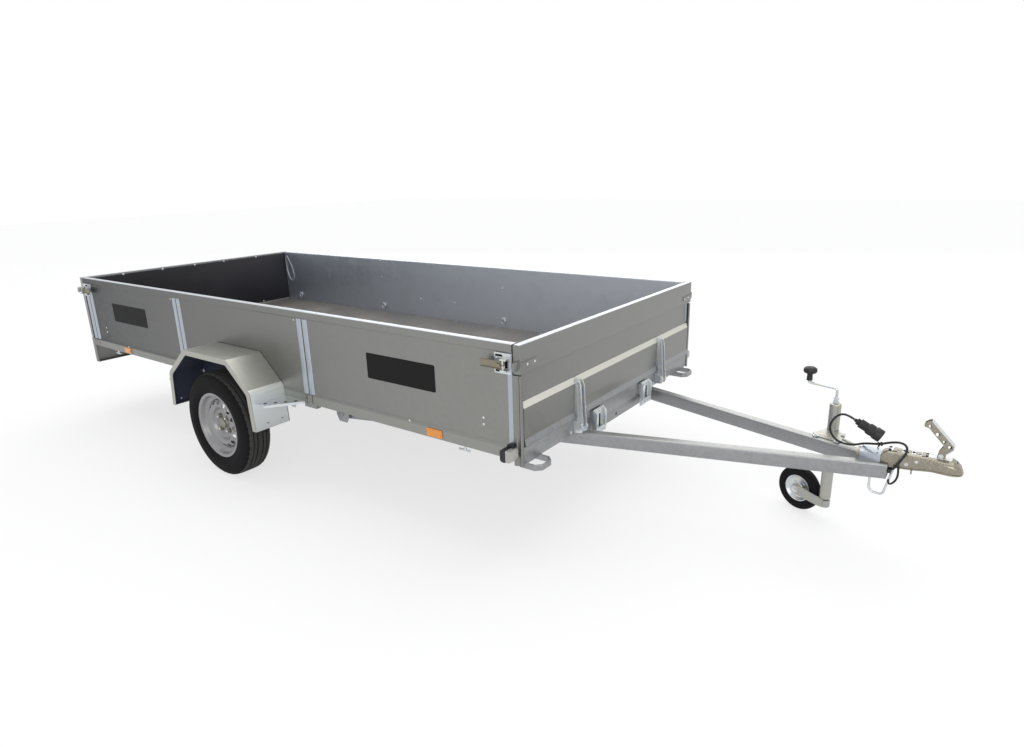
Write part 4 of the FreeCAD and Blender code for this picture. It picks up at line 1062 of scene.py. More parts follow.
def build_fenders():
    y0 = HALF_W - 3.9
    y1 = WHEEL_Y + TYRE_W / 2 + 4
    low = R + FENDER_BELOW
    for name, sign in SIDES:
        shell = Shape()
        arch(shell, fender_outline(0), fender_outline(2.5), y0, y1 - 2)
        lip = Shape()
        arch(lip, fender_outline(0), fender_outline(30, 20), y1 - 4, y1)
        for s in (-1, 1):
            x = s * (R + FENDER_REACH - 2.5) - FENDER_BACK
            shell.box(min(x, x - s * 18), max(x, x - s * 18), y0, y1 - 2, low, low + 2.5)
        # A dark sheet on the wall under the fender, which paints the shade of the wheel house.
        shade_sheet = Shape()
        arch(shade_sheet, fender_outline(2.6), fender_outline(4.6), HALF_W + 0.6, y1 - 4.2)
        shade_sheet.prism(fender_outline(3), "y", HALF_W - 0.4, HALF_W + 1.4)
        # Dark discs that paint the shade in the fender's holes.
        holes = Shape()
        for y in (HALF_W + 36, HALF_W + 122):
            holes.rod((R + 90, y, low + 27), (R + 97.4, y, low + 27), 5.5, 16)
        seam = Shape()
        arch(seam, fender_outline(-1.6), fender_outline(0.4), HALF_W - 4.2, HALF_W - 3.0)
        if sign < 0:
            for shape in (shell, lip, shade_sheet, holes, seam):
                shape.flip()
        piece(shell, "fender_shell_" + name, "bed", "fender", angle=24, stands_for=("fender_" + name,))
        piece(lip, "fender_lip_" + name, "bed", "fender", 1.4, 2, 24)
        piece(seam, "fender_seam_" + name, "bed", "rubber")
        piece(shade_sheet, "fender_lining_" + name, "bed", "arch")
        piece(holes, "fender_holes_" + name, "bed", "rubber")
        x = -(R + FENDER_REACH + FENDER_BACK) + 5.5
        bolts = [(x, sign * y, z, (1, 0, 0), r) for y, z, r in ((985, 482, 7), (988, 361, 6), (870, 486, 8))]
        bolts.append((-392, sign * (HALF_W + 1.6), 493, (0, sign, 0), 8))
        heads("wheel_house_bolts_" + name, "bolt", "bed", "fitting", bolts, 0.5)


def build_gussets():
    """The step plates before and behind each fender."""
    x0 = R + 88
    x1 = x0 + 176
    z0 = SIDE_Z + 7
    y0 = HALF_W - 1
    y1 = WHEEL_Y + TYRE_W / 2 - 26
    plates = Shape()
    holes = Shape()
    for s, back in ((1, 0), (-1, FENDER_BACK * 2)):
        def place(x, y):
            return s * (x + back), y

        outline = [place(x0, y0), place(x1, y0), place(x1, y0 + 14), place(x0 + 62, y1), place(x0, y1)]
        plates.prism(filleted(outline, [0, 0, 8, 8, 0]), "z", z0, z0 + 4)
        lip = [place(x1, y0 + 12), place(x1, y0 + 15), place(x0 + 62, y1 + 1), place(x0 + 60, y1 - 3)]
        plates.prism(lip, "z", z0 - 9, z0 + 4)
        tab = [place(x0 + 52, y0), place(x0 + 88, y0), place(x0 + 88, y0 + 4), place(x0 + 52, y0 + 4)]
        plates.prism(tab, "z", SIDE_Z - 42, z0)
        for i in range(4):
            x, y = place(x0 + 34 + i * 34, y0 + 18 + (y1 - y0 - 46) * (1 - i / 3.4))
            holes.rod((x, y, z0 + 3), (x, y, z0 + 4.3), 9, 20)
    piece(plates.mirror(), "fender_steps", "bed", "fitting", 0.8, stands_for=("fender_gussets",))
    # Dark discs that paint the shade in the step plates' holes.
    piece(holes.mirror(), "fender_step_hole_painted_shade", "bed", "rubber")


def tyre_wall():
    """From the bead on the rim to the shoulder, as (radius, width)."""
    f = RIM_D / 2
    w = SEAT_W
    h = TYRE_W / 2
    return [(f - 12.8, w - 9.5), (f - 3, w - 5), (f + 0.4, w - 2), (f + 2, w + 1), (f + 7, h - 6), (f + 14, h - 3.6),
            (f + 17, h - 4.2), (f + 20, h - 2.4), (f + 38, h - 0.2), (R - 50, h - 0.6), (R - 44, h - 2.4),
            (R - 40, h - 2.6), (R - 34, h - 3.4), (R - 24, h - 5.8), (R - 16, h - 9.5)]


def tread(step, groove):
    """From the shoulder to the middle, with a slot in the shoulder and a nick in each block of steps."""
    h = TYRE_W / 2
    slot = 4.0 if step % BLOCK_STEPS == 0 else 0.0
    nick = 2.2 if step % BLOCK_STEPS == 2 else 0.0
    return [(R - 9 - slot, h - 15), (R - 3.2 - slot, h - 22), (R - 1.4 - slot, h - 30), (R - 1.2, h - 34),
            (R - 1.0, h - 37), (R - groove, h - 37.6), (R - groove, h - 43.4), (R - 0.4, h - 44),
            (R - 0.2 - nick, h - 52), (R - 0.1, h - 59), (R - groove, h - 59.6), (R - groove, h - 66.4),
            (R, h - 67), (R - nick, h - 74)]


def build_tyre(name, sign):
    f = RIM_D / 2
    w = SEAT_W
    h = TYRE_W / 2
    inner = [(f - 16.4, w - 29), (f - 8, w - 34), (f - 5, w - 20), (f + 20, h - 12), (R - 40, h - 14), (R - 12, h - 30)]
    groove = chosen_size("groove") * 1000
    rings = []
    for step in range(TREAD_STEPS):
        half = inner[::-1] + tyre_wall() + tread(step, groove)
        a = 2 * math.pi * step / TREAD_STEPS
        rings.append([(r * math.cos(a), sign * WHEEL_Y + y, R + r * math.sin(a))
                      for r, y in half + [(r, -y) for r, y in half[::-1]]])
    piece(Shape().hoop(rings), "tyre_tread_" + name, "wheel_" + name, "tyre", angle=38, stands_for=("tyre_" + name,))


def build_rim(name, sign):
    """A disc with vents and stud holes inside a rolled barrel."""
    f = RIM_D / 2
    w = SEAT_W
    barrel = [(f - 1, w - 0.6), (f, w - 2), (f, w - 4), (f - 5, w - 6), (f - 12, w - 8), (f - 15, w - 12),
              (f - 17, w - 28), (f - 20, w - 33), (f - 40, w - 41), (f - 42, w - 46), (f - 42, 44 - w),
              (f - 40, 39 - w), (f - 19, 30 - w), (f - 17, 26 - w), (f - 14, 10 - w), (f - 2, 4.5 - w), (f, 3 - w),
              (f - 1, -w), (f - 15, -w), (f - 19, 4 - w), (f - 21, 26 - w), (f - 44, 36 - w), (f - 46, 42 - w),
              (f - 46, w - 44), (f - 43, w - 37), (f - 24, w - 29), (f - 20, w - 24), (f - 18, w - 6),
              (f - 14, w - 1.2), (f - 8, w)]
    p = HUB_PAD
    disc = curved([(f - 44, w - 46), (f - 44.5, w - 40), (f - 47, w - 34), (f - 52, w - 29), (f - 64, w - 21.5),
                   (f - 71, w - 18), (f - 76, w - 17.5), (f - 80, w - 20), (92, w - 27), (88, p + 18), (84, p + 11),
                   (78, p + 6.4), (70, p + 5.2), (54, p + 5), (40, p + 5), (31, p + 4.6)], 3)
    back = [(r - 0.5, y - 4) for r, y in disc[::-1]]
    back[0] = (31, p + 0.8)
    axis = (0, sign, 0)
    centre = (0, sign * WHEEL_Y, R)
    holes = Shape()
    for (x0, z0), (x1, z1) in zip(around(VENTS, f - 68), around(VENTS, f - 53)):
        holes.rod((x0, sign * (WHEEL_Y + w - 38), R + z0), (x1, sign * (WHEEL_Y + w - 9), R + z1), 12, 20)
    for x, z in around(STUDS, BOLT_RING, 45):
        holes.rod((x, sign * (WHEEL_Y + p - 8), R + z), (x, sign * (WHEEL_Y + p + 10), R + z), 6.4, 16)
    plate = Shape().lathe(disc + back, centre, axis, 96, True)
    piece(plate, "rim_disc_" + name, "wheel_" + name, "rim", 0.8, 2, 40, cuts=(holes,))
    hoop = Shape().lathe(barrel, centre, axis, 96, True)
    hoop.rod((f - 26, sign * (WHEEL_Y + w - 33), R), (f - 20, sign * (WHEEL_Y + w + 4), R), 4.2, 12, 1)
    piece(hoop, "rim_barrel_" + name, "wheel_" + name, "rim", angle=42, stands_for=("rim_" + name,))


def build_hub(name, sign):
    y0 = HALF_W + 34
    pad = WHEEL_Y + HUB_PAD
    centre = (0, 0, R)
    axis = (0, sign, 0)
    hub = Shape()
    drum = [(0, y0), (34, y0), (38, y0 + 4), (38, pad - 12), (66, pad - 12), (68, pad - 10), (68, pad - 0.1), (28, pad),
            (28, pad + 5), (0, pad + 5)]
    hub.lathe(drum, centre, axis, 48)
    nuts = []
    stud = [(0, pad - 2), (6, pad - 2), (6, pad + 23), (5, pad + 24), (0, pad + 24)]
    seat = [(0, pad), (10.5, pad), (11.5, pad + 5), (9, pad + 6.4), (0, pad + 6.4)]
    for x, z in around(STUDS, BOLT_RING, 45):
        hub.lathe(stud, (x, 0, R + z), axis, 14)
        nuts.append((x, sign * (pad + 10.5), R + z, axis, 10.5))
        hub.lathe(seat, (x, 0, R + z), axis, 20)
    piece(hub, "hub_drum_" + name, "wheel_" + name, "fitting", angle=30, stands_for=("hub_" + name,))
    cap = [(0, pad), (28, pad), (29, pad + 5), (27, pad + 9), (24, pad + 10), (23, pad + 17), (20, pad + 20),
           (12, pad + 21), (10, pad + 23), (5, pad + 24), (0, pad + 24)]
    piece(Shape().lathe(cap, centre, axis, 48), "hub_cap_" + name, "wheel_" + name, "bronze", angle=36)
    heads("wheel_nuts_" + name, "bolt", "wheel_" + name, "bronze", nuts, 0.75)


# Drawbar and nose

def tube_y(x):
    """Outer face of the left tube at x."""
    return TUBE_W + SLOPE * (TUBE_END - x)


def tube_section(x, inset):
    """Rounded outline of the tube across the trailer at x, never past the centre line."""
    a = tube_y(x) - TUBE_W + inset
    b = tube_y(x) - inset
    pts = [(a, TUBE_Z0 + inset), (b, TUBE_Z0 + inset), (b, TUBE_Z1 - inset), (a, TUBE_Z1 - inset)]
    return [(x, y, z) for y, z in filleted(pts, max(6 - inset, 2), 4)]


def build_drawbar():
    start = PIVOT_X + 13
    shape = Shape().loft([tube_section(x, inset) for x, inset in (
        (start, 3), (start, 0), (TUBE_END, 0), (TUBE_END, 3.4), (TUBE_END - 70, 3.4))])
    y1 = tube_y(PIVOT_X) + 4
    shape.lathe([(10.6, 0), (22.5, 0), (24, 1.5), (24, 67.5), (22.5, 69), (10.6, 69)], (PIVOT_X, y1 - 69, PIVOT_Z),
                (0, 1, 0), 36, True)
    shape.mirror()
    x = X_FRONT - 45
    y = tube_y(x) - TUBE_W + 1
    shape.prism(rounded(x - 20, x + 20, TUBE_Z0, TUBE_Z1, 5), "y", -y, y)
    cutter = Shape().rod((x - 30, 0, PIVOT_Z - 6), (x + 30, 0, PIVOT_Z - 6), 8, 20)
    piece(shape, "drawbar_tubes", "drawbar", "tube", angle=30, stands_for=("drawbar",), cuts=(cutter,))
    beads = Shape()
    for z, s in ((TUBE_Z1, -1), (TUBE_Z0, 1)):
        seam = [(TUBE_END - d, 0.0, z + s * (1.2 - 1.1 * math.sin(d * 0.9))) for d in range(2, 118, 3)]
        beads.tube(seam, 3.4, 8)
    for y in (37, -37):
        line = [(TUBE_END - 103 + d, y, TUBE_Z1 + 0.8 + 0.5 * math.sin(d)) for d in range(0, 75, 3)]
        beads.tube(line, 2.2, 8)
    piece(beads, "nose_welds", "drawbar", "tube", angle=60)
    # The nose box and its cover carry the bright bluish painted reflection.
    softened("nose_box", "drawbar", "post", 1.9, 3)
    cover = Shape().box(TUBE_END - 104, TUBE_END - 29, -35, 35, TUBE_Z1 + 28.4, TUBE_Z1 + 31.4)
    piece(cover, "nose_cover", "drawbar", "post", 1.2)
    e = TUBE_END
    z = TUBE_Z1
    line = filleted_path([(e - 62, 0, z - 4), (e - 59, 0, z - 128), (e - 48, 0, z - 144), (e - 8, 0, z - 148),
                          (e + 20, 0, z - 16.5)], 14)
    piece(Shape().tube(line, 5, 16), "nose_bail", "drawbar", "fitting", angle=40, stands_for=("nose_rod",))
    softened("lock_plates", "bed", "fitting", 1.0)


def coupling_section(x, half, z0, z1, crown, r):
    """A rounded channel section, crowned on top. Heights are from the top of the tubes."""
    z0 += TUBE_Z1
    z1 += TUBE_Z1
    pts = [(-half, z0), (half, z0), (half, z1), (half * 0.45, z1 + crown), (-half * 0.45, z1 + crown), (-half, z1)]
    return [(x, y, z) for y, z in filleted(pts, [2, 2, r, r, r, r], 4)]


def build_coupling():
    e = TUBE_END
    z = TUBE_Z1
    b = BALL_X
    top = z + 43
    rows = [(e - 116, 31, 4.6, 27, 2, 5), (e - 30, 32, 4, 28, 3, 5), (e - 25, 32.4, 1, 36, 3, 6),
            (e - 8, 33, 0.6, 46, 4, 7), (e, 33, 0.6, 47, 4, 8), (e + 2, 33, -11.6, 47, 4, 8),
            (e + 24, 33, -11, 49, 4, 9), (e + 70, 33, -8.6, 49.4, 4, 10), (e + 98, 33, -3, 49.4, 4, 10),
            (b - 72, 34, 1.5, 49, 4, 11), (b - 50, 37, 3, 48, 5, 13), (b - 30, 41, 4, 47, 6, 15),
            (b - 10, 44, 4, 45, 9, 17), (b + 8, 44, 4, 43, 9, 18), (b + 22, 40, 4, 37, 7, 18),
            (b + 34, 31, 4, 27, 5, 16), (X_TIP - 4, 18, 4, 15, 3, 5), (X_TIP - 0.6, 8, 4.4, 9, 1, 2)]
    shell = Shape().loft([coupling_section(*row) for row in rows])
    dome = [(SOCKET_R * math.cos(a / 10), SOCKET_R * math.sin(a / 10)) for a in range(1, 15)]
    cup = [(0, -34), (SOCKET_R, -34), (SOCKET_R, 0)] + dome + [(0, SOCKET_R)]
    socket = Shape().lathe(cup, (b, 0, BALL_Z), (0, 0, 1), 40)
    belly = Shape().prism([(e + 6, z - 30), (b - 46, z - 30), (b - 46, top - 6), (e + 6, top)], "y", -28, 28)
    piece(shell, "coupling_shell", "drawbar", "gold", angle=34, stands_for=("coupling",), cuts=(socket, belly))
    trim = Shape()
    lip = [(e + 3, -34, z - 9.4), (e + 40, -34, z - 8), (e + 84, -34, z - 4), (b - 62, -36, z + 4),
           (b - 26, -43, z + 6.4), (b + 8, -45.6, z + 6.6), (b + 26, -39, z + 6.6), (b + 38, -25, z + 6.6),
           (X_TIP - 3.4, 0, z + 6.6)]
    half = curved(lip, 5)
    trim.tube(half + [(x, -y, h) for x, y, h in half[::-1][1:]], 2.6, 10)
    for x in (e + 30, e + 62, e + 94):
        trim.prism(rounded(x - 9, x + 9, -12, 12, 6), "z", top + 8, top + 13.6)
    for x in (e + 16, e + 112):
        trim.prism(rounded(x - 7, x + 7, -20, 20, 4), "z", top + 6, top + 12.4)
    trim.ring((e + 80, -35, z - 12), (1, 0, 0), 9, 2.6, 24, 8)
    piece(trim, "coupling_trim", "drawbar", "gold", 0.7, 2, 40)
    plan = [(e - 6, -17), (b - 52, -17), (b + 4, -20), (b + 4, 20), (b - 52, 17), (e - 6, 17)]
    crest = Shape().prism(filleted(plan, 8), "z", z + 50, z + 54.2)
    piece(crest, "coupling_crest", "drawbar", "fitting", 1.4, 2, 40)
    # Dark discs that paint the shade in the holes on the coupling's top, and the dark indicator window at the head.
    dark = Shape()
    for x, y in ((e - 2, 14), (e - 2, -14), (e + 46, 0), (e + 78, 0), (e + 122, 12), (e + 122, -12)):
        dark.lathe([(0, 0), (5.4, 0), (5.4, 3.6), (0, 3.6)], (x, y, top + 9.2), (0, 0, 1), 18)
    dark.prism(rounded(b + 6, b + 22, -9, 9, 3), "z", top - 8, top + 2.8)
    piece(dark, "coupling_hole_shade_and_window", "drawbar", "rubber")
    build_handle()
    bolts = []
    for s in (1, -1):
        for x, h, r in ((e + 44, z + 34, 4.5), (e + 60, z + 12, 4.5), (e + 92, z + 30, 4)):
            bolts.append((x, s * 33, h, (0, s, 0), r))
        bolts.append((HANDLE_X, s * 14, HANDLE_Z + 10, (0, s, 0), 6))
    heads("coupling_bolts", "bolt", "drawbar", "fitting", bolts, 0.5)


def build_handle():
    """The raised handle: two cheeks with holes, closed along the outer edge."""
    x = HANDLE_X
    z = HANDLE_Z
    outline = [(x - 13, z - 1), (x + 13, z - 1), (x + 16, z + 18), (x + 37, z + 40), (x + 39, z + 56),
               (x - 43, z + 142.6), (x - 55, z + 139), (x - 68, z + 128), (x - 67, z + 116), (x - 52, z + 113),
               (x + 5, z + 52), (x - 9, z + 24)]
    outline = filleted(outline, [1, 1, 8, 6, 6, 5, 6, 6, 5, 8, 8, 8])
    cheeks = Shape()
    cheeks.prism(outline, "y", -13.6, -11)
    cheeks.prism(outline, "y", 11, 13.6)
    holes = Shape()
    for dx, dz, r in ((24, 51, 6), (4, 68, 5), (-20, 93, 7), (-48, 121, 5)):
        holes.rod((x + dx, -20, z + dz), (x + dx, 0, z + dz), r + 0.6, 20)
        holes.rod((x + dx - 7, 2, z + dz - 8), (x + dx - 7, 20, z + dz - 8), r + 1.4, 20)
    piece(cheeks, "handle_cheeks", "drawbar", "gold", 0.7, stands_for=("coupling_handle",), cuts=(holes,))
    spine = Shape()
    line = [(x + 16, z + 18), (x + 37, z + 40), (x + 39, z + 56), (x - 43, z + 143)]
    inner = [(x - 45, z + 140), (x + 35.6, z + 54.6), (x + 34, z + 42), (x + 13.4, z + 20)]
    spine.prism(filleted(line + inner, [1, 8, 6, 1, 1, 4, 5, 1]), "y", -14, 14)
    spine.box(x - 12, x + 12, -11, 11, z - 2, z + 3)
    # The spine's bright zinc paints the highlight along the handle's outer edge and the light seen through the holes.
    piece(spine, "handle_spine", "drawbar", "fitting", 0.8)


def build_jockey():
    x = JACK_X
    y = JACK_Y
    z1 = JACK_TOP
    mast = [(21.2, 113), (JACK_R, 113), (JACK_R, z1 - 6), (23, z1 - 2.4), (20, z1), (12, z1 + 1.4), (0, z1 + 1.4),
            (0, z1 - 8), (21.2, z1 - 8)]
    tube = Shape().lathe(mast, (x, y, 0), (0, 0, 1), 44, True)
    crank = Shape()
    line = filleted_path([(x, y, z1 + 30), (x, y, z1 + 67), (x - CRANK, y, z1 + 78), (x - CRANK, y, z1 + 90)], 13, 6)
    crank.tube(line, 6, 16)
    crank.lathe([(0, z1 + 1), (9.5, z1 + 1), (9.5, z1 + 26), (8, z1 + 31), (0, z1 + 31)], (x, y, 0), (0, 0, 1), 24)
    for r, z in ((13, z1 + 3), (11.5, z1 + 18)):
        crank.prism([(x + dx, y + dy) for dx, dy in around(6, r)], "z", z, z + 11)
    piece(crank, "jockey_crank", "drawbar", "fitting", 0.8, angle=34)
    piece(tube, "jockey_mast", "drawbar", "jack", angle=34, stands_for=("jockey_tube",))
    knob = curved([(0.2, 0), (11.5, 0), (12.6, 2), (12, 16), (12, 28), (15, 32), (24, 34.5), (28, 40), (28.4, 47),
                   (26.5, 54), (20, 59.5), (10, 62.4), (0.2, 62.8)], 3)
    knob = [(0, 0)] + knob[1:-1] + [(0, 62.8)]
    piece(Shape().lathe(knob, (x - CRANK, y, z1 + 88), (0, 0, 1), 40), "jockey_crank_knob", "drawbar", "plastic",
          angle=50, stands_for=("jockey_knob",))
    softened("jockey_clamp", "drawbar", "jack", 1.2, 2)
    outline = [(x - 66, tube_y(x - 66) - 2), (x + 66, tube_y(x + 66) - 2), (x + 30, y - 24), (x + 26, y - 2),
               (x - 26, y - 2), (x - 30, y - 24)]
    plate = Shape().prism(filleted(outline, [8, 8, 6, 4, 4, 6]), "z", TUBE_Z1 + 0.2, TUBE_Z1 + 5)
    bore = Shape().rod((x, y, TUBE_Z1 - 5), (x, y, TUBE_Z1 + 9), 24.3, 32)
    piece(plate, "jockey_top_plate", "drawbar", "jack", 1.0, cuts=(bore,))
    bolts = []
    for dx in (-44, 44):
        bolts.append((x + dx, tube_y(x + dx) + 6, TUBE_Z0 + 24, (0, 1, 0), 7))
        bolts.append((x + dx, tube_y(x + dx) - 24, TUBE_Z1 + 5, (0, 0, 1), 8))
    heads("jockey_bolts", "bolt", "drawbar", "fitting", bolts, 0.6)
    softened("jockey_leg", "jockey_leg", "jack", 0.8)
    build_jockey_fork()


def build_jockey_fork():
    x = JACK_X
    y = JACK_Y
    rw = reach("jockey_tyre")[1].z / 2
    hub_x = x - rw - 31
    yc = y + 9
    ya = y - JACK_R - 2
    arm = [(x + 8, 71), (x + 8, 111), (x - 26, 113), (hub_x + 8, rw + 25), (hub_x - 14, rw + 22),
           (hub_x - 24, rw + 2), (hub_x - 14, rw - 20), (hub_x + 6, rw - 24), (x - 30, 71)]
    fork = Shape()
    fork.prism(filleted(arm, 6), "y", ya, ya + 8)
    collar = [(12.06, 81), (JACK_R - 1.5, 81), (JACK_R, 83), (JACK_R, 102.5), (JACK_R - 1.5, 104), (12.06, 104)]
    foot = [(0, 70), (JACK_R - 2, 70), (JACK_R, 72), (JACK_R, 80.6), (0, 80.6)]
    joint = [(12.06, 80.4), (JACK_R, 80.4), (JACK_R, 84), (12.06, 84)]
    for profile, closed in ((collar, True), (foot, False), (joint, True)):
        fork.lathe(profile, (x, y, 0), (0, 0, 1), 40, closed)
    fork.rod((hub_x, ya - 6, rw), (hub_x, yc + 27, rw), 7.96, 20, 1)
    piece(fork.turned(), "jockey_fork_arm", "jockey_fork", "jack", 1.0, 2, 34, stands_for=("jockey_fork",))
    way = Vector((math.sin(JACK_TURN), math.cos(JACK_TURN), 0))
    ends = [(*swivelled((hub_x, ya - 1, rw)), -way, 11.5), (*swivelled((hub_x, yc + 25, rw)), way, 9)]
    heads("jockey_fork_nut", "bolt", "jockey_fork", "fitting", ends, 0.55)
    disc = Shape()
    d = rw * 0.6
    half = [(8.1, -20), (17, -20), (18.5, -18), (19, -12), (22, -8.5), (30, -6.5), (d - 16, -6.5), (d - 12, -8.6),
            (d - 6, -14), (d - 3, -17), (d, -17.4)]
    disc.lathe(half + [(r, -h) for r, h in half[::-1]], (hub_x, yc, rw), (0, 1, 0), 64, True)
    piece(disc.turned(), "jockey_wheel_disc", "jockey_wheel", "fitting", angle=34, stands_for=("jockey_disc",))
    rubber = curved([(60.1, -17), (66, -20), (78, -21), (88, -20.6), (94, -17.5), (98, -12.5), (99.7, -6), (100, 0),
                     (99.7, 6), (98, 12.5), (94, 17.5), (88, 20.6), (78, 21), (66, 20), (60.1, 17)], 3)
    rubber = [(r * rw / 100, h) for r, h in rubber]
    tyre = Shape().lathe(rubber, (hub_x, yc, rw), (0, 1, 0), 72, True)
    piece(tyre.turned(), "jockey_solid_tyre", "jockey_wheel", "rubber", angle=44, stands_for=("jockey_tyre",))
    bolts = []
    for dx, dz in around(4, 32, 45):
        for s in (1, -1):
            bolts.append((*swivelled((hub_x + dx, yc + s * 6.6, rw + dz)), way * s, 5.5))
    heads("jockey_wheel_bolts", "bolt", "jockey_wheel", "fitting", bolts, 0.6)


# Lamps and small fittings

def build_lamps():
    bases = Shape()
    lenses = Shape()
    lo, hi = reach("marker_bases")
    lens_lo, lens_hi = reach("marker_lenses")
    block = rounded(lo.x, hi.x, lo.z, hi.z, [12, 2, 2, 12])
    bases.prism(block, "y", HALF_W, hi.y)
    arm = filleted([(lo.x + 6, hi.z - 6), (hi.x + 18, hi.z - 6), (hi.x + 14, hi.z + 14), (lo.x + 12, hi.z + 10)], 4)
    bases.prism(arm, "y", HALF_W, HALF_W + 22)
    glass = rounded(lens_lo.x, lens_hi.x, lens_lo.z, lens_hi.z, [3, 12, 12, 3])
    lenses.prism(glass, "y", HALF_W + 4, lens_hi.y)
    piece(bases.mirror(), "marker_bodies", "bed", "plastic", 3.0, 3, 50, stands_for=("marker_bases",))
    piece(lenses.mirror(), "marker_glasses", "bed", "clear", 4.0, 3, 50, stands_for=("marker_lenses",))
    lamps = Shape()
    red = Shape()
    amber = Shape()
    lo, hi = reach("tail_lamp_bases")
    y1 = hi.y
    y0 = y1 - TAIL_LAMP_W
    lamps.prism(rounded(y0, y1, lo.z, hi.z, 10), "x", lo.x, hi.x)
    for shape, a, b in ((red, y0 + 6, y1 - 80), (amber, y1 - 78, y1 - 6)):
        shape.prism(rounded(a, b, lo.z + 6, hi.z - 6, 5), "x", reach("tail_lamp_lenses")[0].x, lo.x)
    piece(lamps.mirror(), "tail_lamp_housings", "bed", "plastic", 2.0, 2, 50, stands_for=("tail_lamp_bases",))
    piece(red.mirror(), "tail_lamp_red", "bed", "red", 3.0, 3, 50, stands_for=("tail_lamp_lenses",))
    piece(amber.mirror(), "tail_lamp_amber", "bed", "amber", 3.0, 3, 50)
    lo, hi = reach("number_plate")
    plate = Shape().prism(rounded(lo.y, hi.y, lo.z, hi.z, 6), "x", lo.x, hi.x)
    piece(plate, "number_plate_sheet", "bed", "plate", 1.2, stands_for=("number_plate",))
    reflect = Shape()
    lo, hi = reach("side_reflectors")
    for x in (lo.x + 45, hi.x - 45):
        reflect.prism(rounded(x - 45, x + 45, lo.z, hi.z, 5), "y", HALF_W, HALF_W + 4)
        reflect.prism(rounded(x - 38, x + 38, lo.z + 5, hi.z - 5, 4), "y", HALF_W + 3, HALF_W + 6)
    piece(reflect.mirror(), "side_reflector_lenses", "bed", "amber", 1.2, 2, 50, stands_for=("side_reflectors",))


def build_rings():
    shape = Shape()
    z = RING_Z
    y = INNER
    for x in (WALL_X0 + 180, -POST_X, POST_X, WALL_X1 - 180):
        shape.prism(rounded(x - 18, x + 18, z - 14, z + 18, 5), "y", y - 4, y)
        shape.ring((x, y - 8.2, z - 8), (0, 1, 0), 17, 4, 40, 12)
        shape.prism(rounded(x - 8, x + 8, z + 4, z + 13, 3), "y", y - 13, y - 3)
        for dx in (-12, 12):
            shape.lathe([(0, 0), (4.4, 0), (3.6, 2.2), (0, 3)], (x + dx, y - 4, z + 12), (0, -1, 0), 14)
    piece(shape.mirror(), "lashing_eyes", "bed", "fitting", 0.6, 2, 40, stands_for=("lashing_rings",))


def plug_profile():
    """Bend relief, ribbed nut, ribbed grip and cap of the plug, as (radius, height)."""
    pts = [(0, 0), (4.7, 0), (5.6, 2), (6.6, 3), (6.2, 5), (7.4, 6), (7, 8), (8.4, 9), (8.2, 11), (9, 12), (13, 12.4),
           (14, 14)]
    for i in range(3):
        s = 15 + i * 3
        pts += [(14, s), (14, s + 1.4), (12.8, s + 1.8), (12.8, s + 2.6)]
    pts += [(14, 24.4), (18.4, 25), (19, 27)]
    for i in range(6):
        s = 29 + i * 4.4
        pts += [(19, s), (19, s + 2.4), (18, s + 2.8), (18, s + 3.8)]
    return pts + [(19, 57), (21, 58.4), (22, 60), (22, 85), (25, 88), (26, 91), (26, 114), (25, 117), (20, 117.8),
                  (19.6, 111), (0, 111)]


def build_plug():
    a = Vector((TUBE_END - 146, 34, TUBE_Z1 + 134))
    d = Vector((104, 0, -53)).normalized()
    shape = Shape().lathe(plug_profile(), a, d, 44)
    side = d.cross(Vector((0, 1, 0))).normalized()
    for k in range(16):
        turn = Matrix.Rotation(2 * math.pi * k / 16, 3, d)
        out = turn @ side
        shape.tube([a + d * 62 + out * 22, a + d * 82 + out * 22], 1.3, 6)
    return piece(shape, "plug_body", "drawbar", "plug", angle=34, stands_for=("plug",))


# Cords

def cord_curve(name, points, diameter, material):
    """A round cord along a smooth curve that the points steer."""
    curve = bpy.data.curves.new(name, "CURVE")
    curve.dimensions = "3D"
    curve.bevel_depth = diameter / 2
    curve.bevel_resolution = 5
    curve.resolution_u = 10
    curve.use_fill_caps = True
    spline = curve.splines.new("NURBS")
    spline.points.add(len(points) - 1)
    for point, place in zip(spline.points, points):
        point.co = (*place, 1)
    spline.order_u = 3
    spline.use_endpoint_u = True
    if material:
        curve.materials.append(material)
    return linked(name, curve)


def curve_length(points):
    obj = cord_curve("measure", points, 0.0, None)
    graph = bpy.context.evaluated_depsgraph_get()
    mesh = bpy.data.meshes.new_from_object(obj.evaluated_get(graph))
    bpy.data.objects.remove(obj)
    ends = [[mesh.vertices[i].co for i in edge.vertices] for edge in mesh.edges]
    return sum((a - b).length for a, b in ends)


def nose_point(p):
    """A point in millimetres from the upper front end of the tubes as a place in the row frame."""
    return placed((TUBE_END + p[0], p[1], TUBE_Z1 + p[2]))


# Points that steer the cords: two seen from the end of the tubes, and one in the plane of the wall.
ELECTRIC = [(-12, -20, -26), (14, -43, -22), (32, -51, 8), (46, -53, 40), (58, -47, 66), (54, -26, 84), (30, -4, 86),
            (-6, 8, 74), (-42, 14, 56), (-80, 25, 47), (-108, 41, 35), (-130, 55, 20), (-168, 67, 8), (-212, 72, 16),
            (-240, 66, 60), (-230, 54, 108), (-202, 44, 143), (-171, 36, 147.5), (-146.6, 34, 134.3)]
SAFETY = [(36, -38, -2), (40, -45, -28), (37, -51, -50), (24, -50, -72), (9, -32, -83), (6, -6.4, -78)]
WIRE = [(14, 0), (-2, -40), (2, -100), (16, -160), (40, -206), (72, -216), (94, -186), (92, -128), (70, -76),
        (40, -30), (26, -2)]


def lay_cord(name, body, slot, points, diameter, finish, stands_for, **told):
    line = cord_curve(name, points, diameter, MATERIALS[finish])
    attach(line, body)
    if stands_for:
        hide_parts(stands_for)
    curve_length(points)


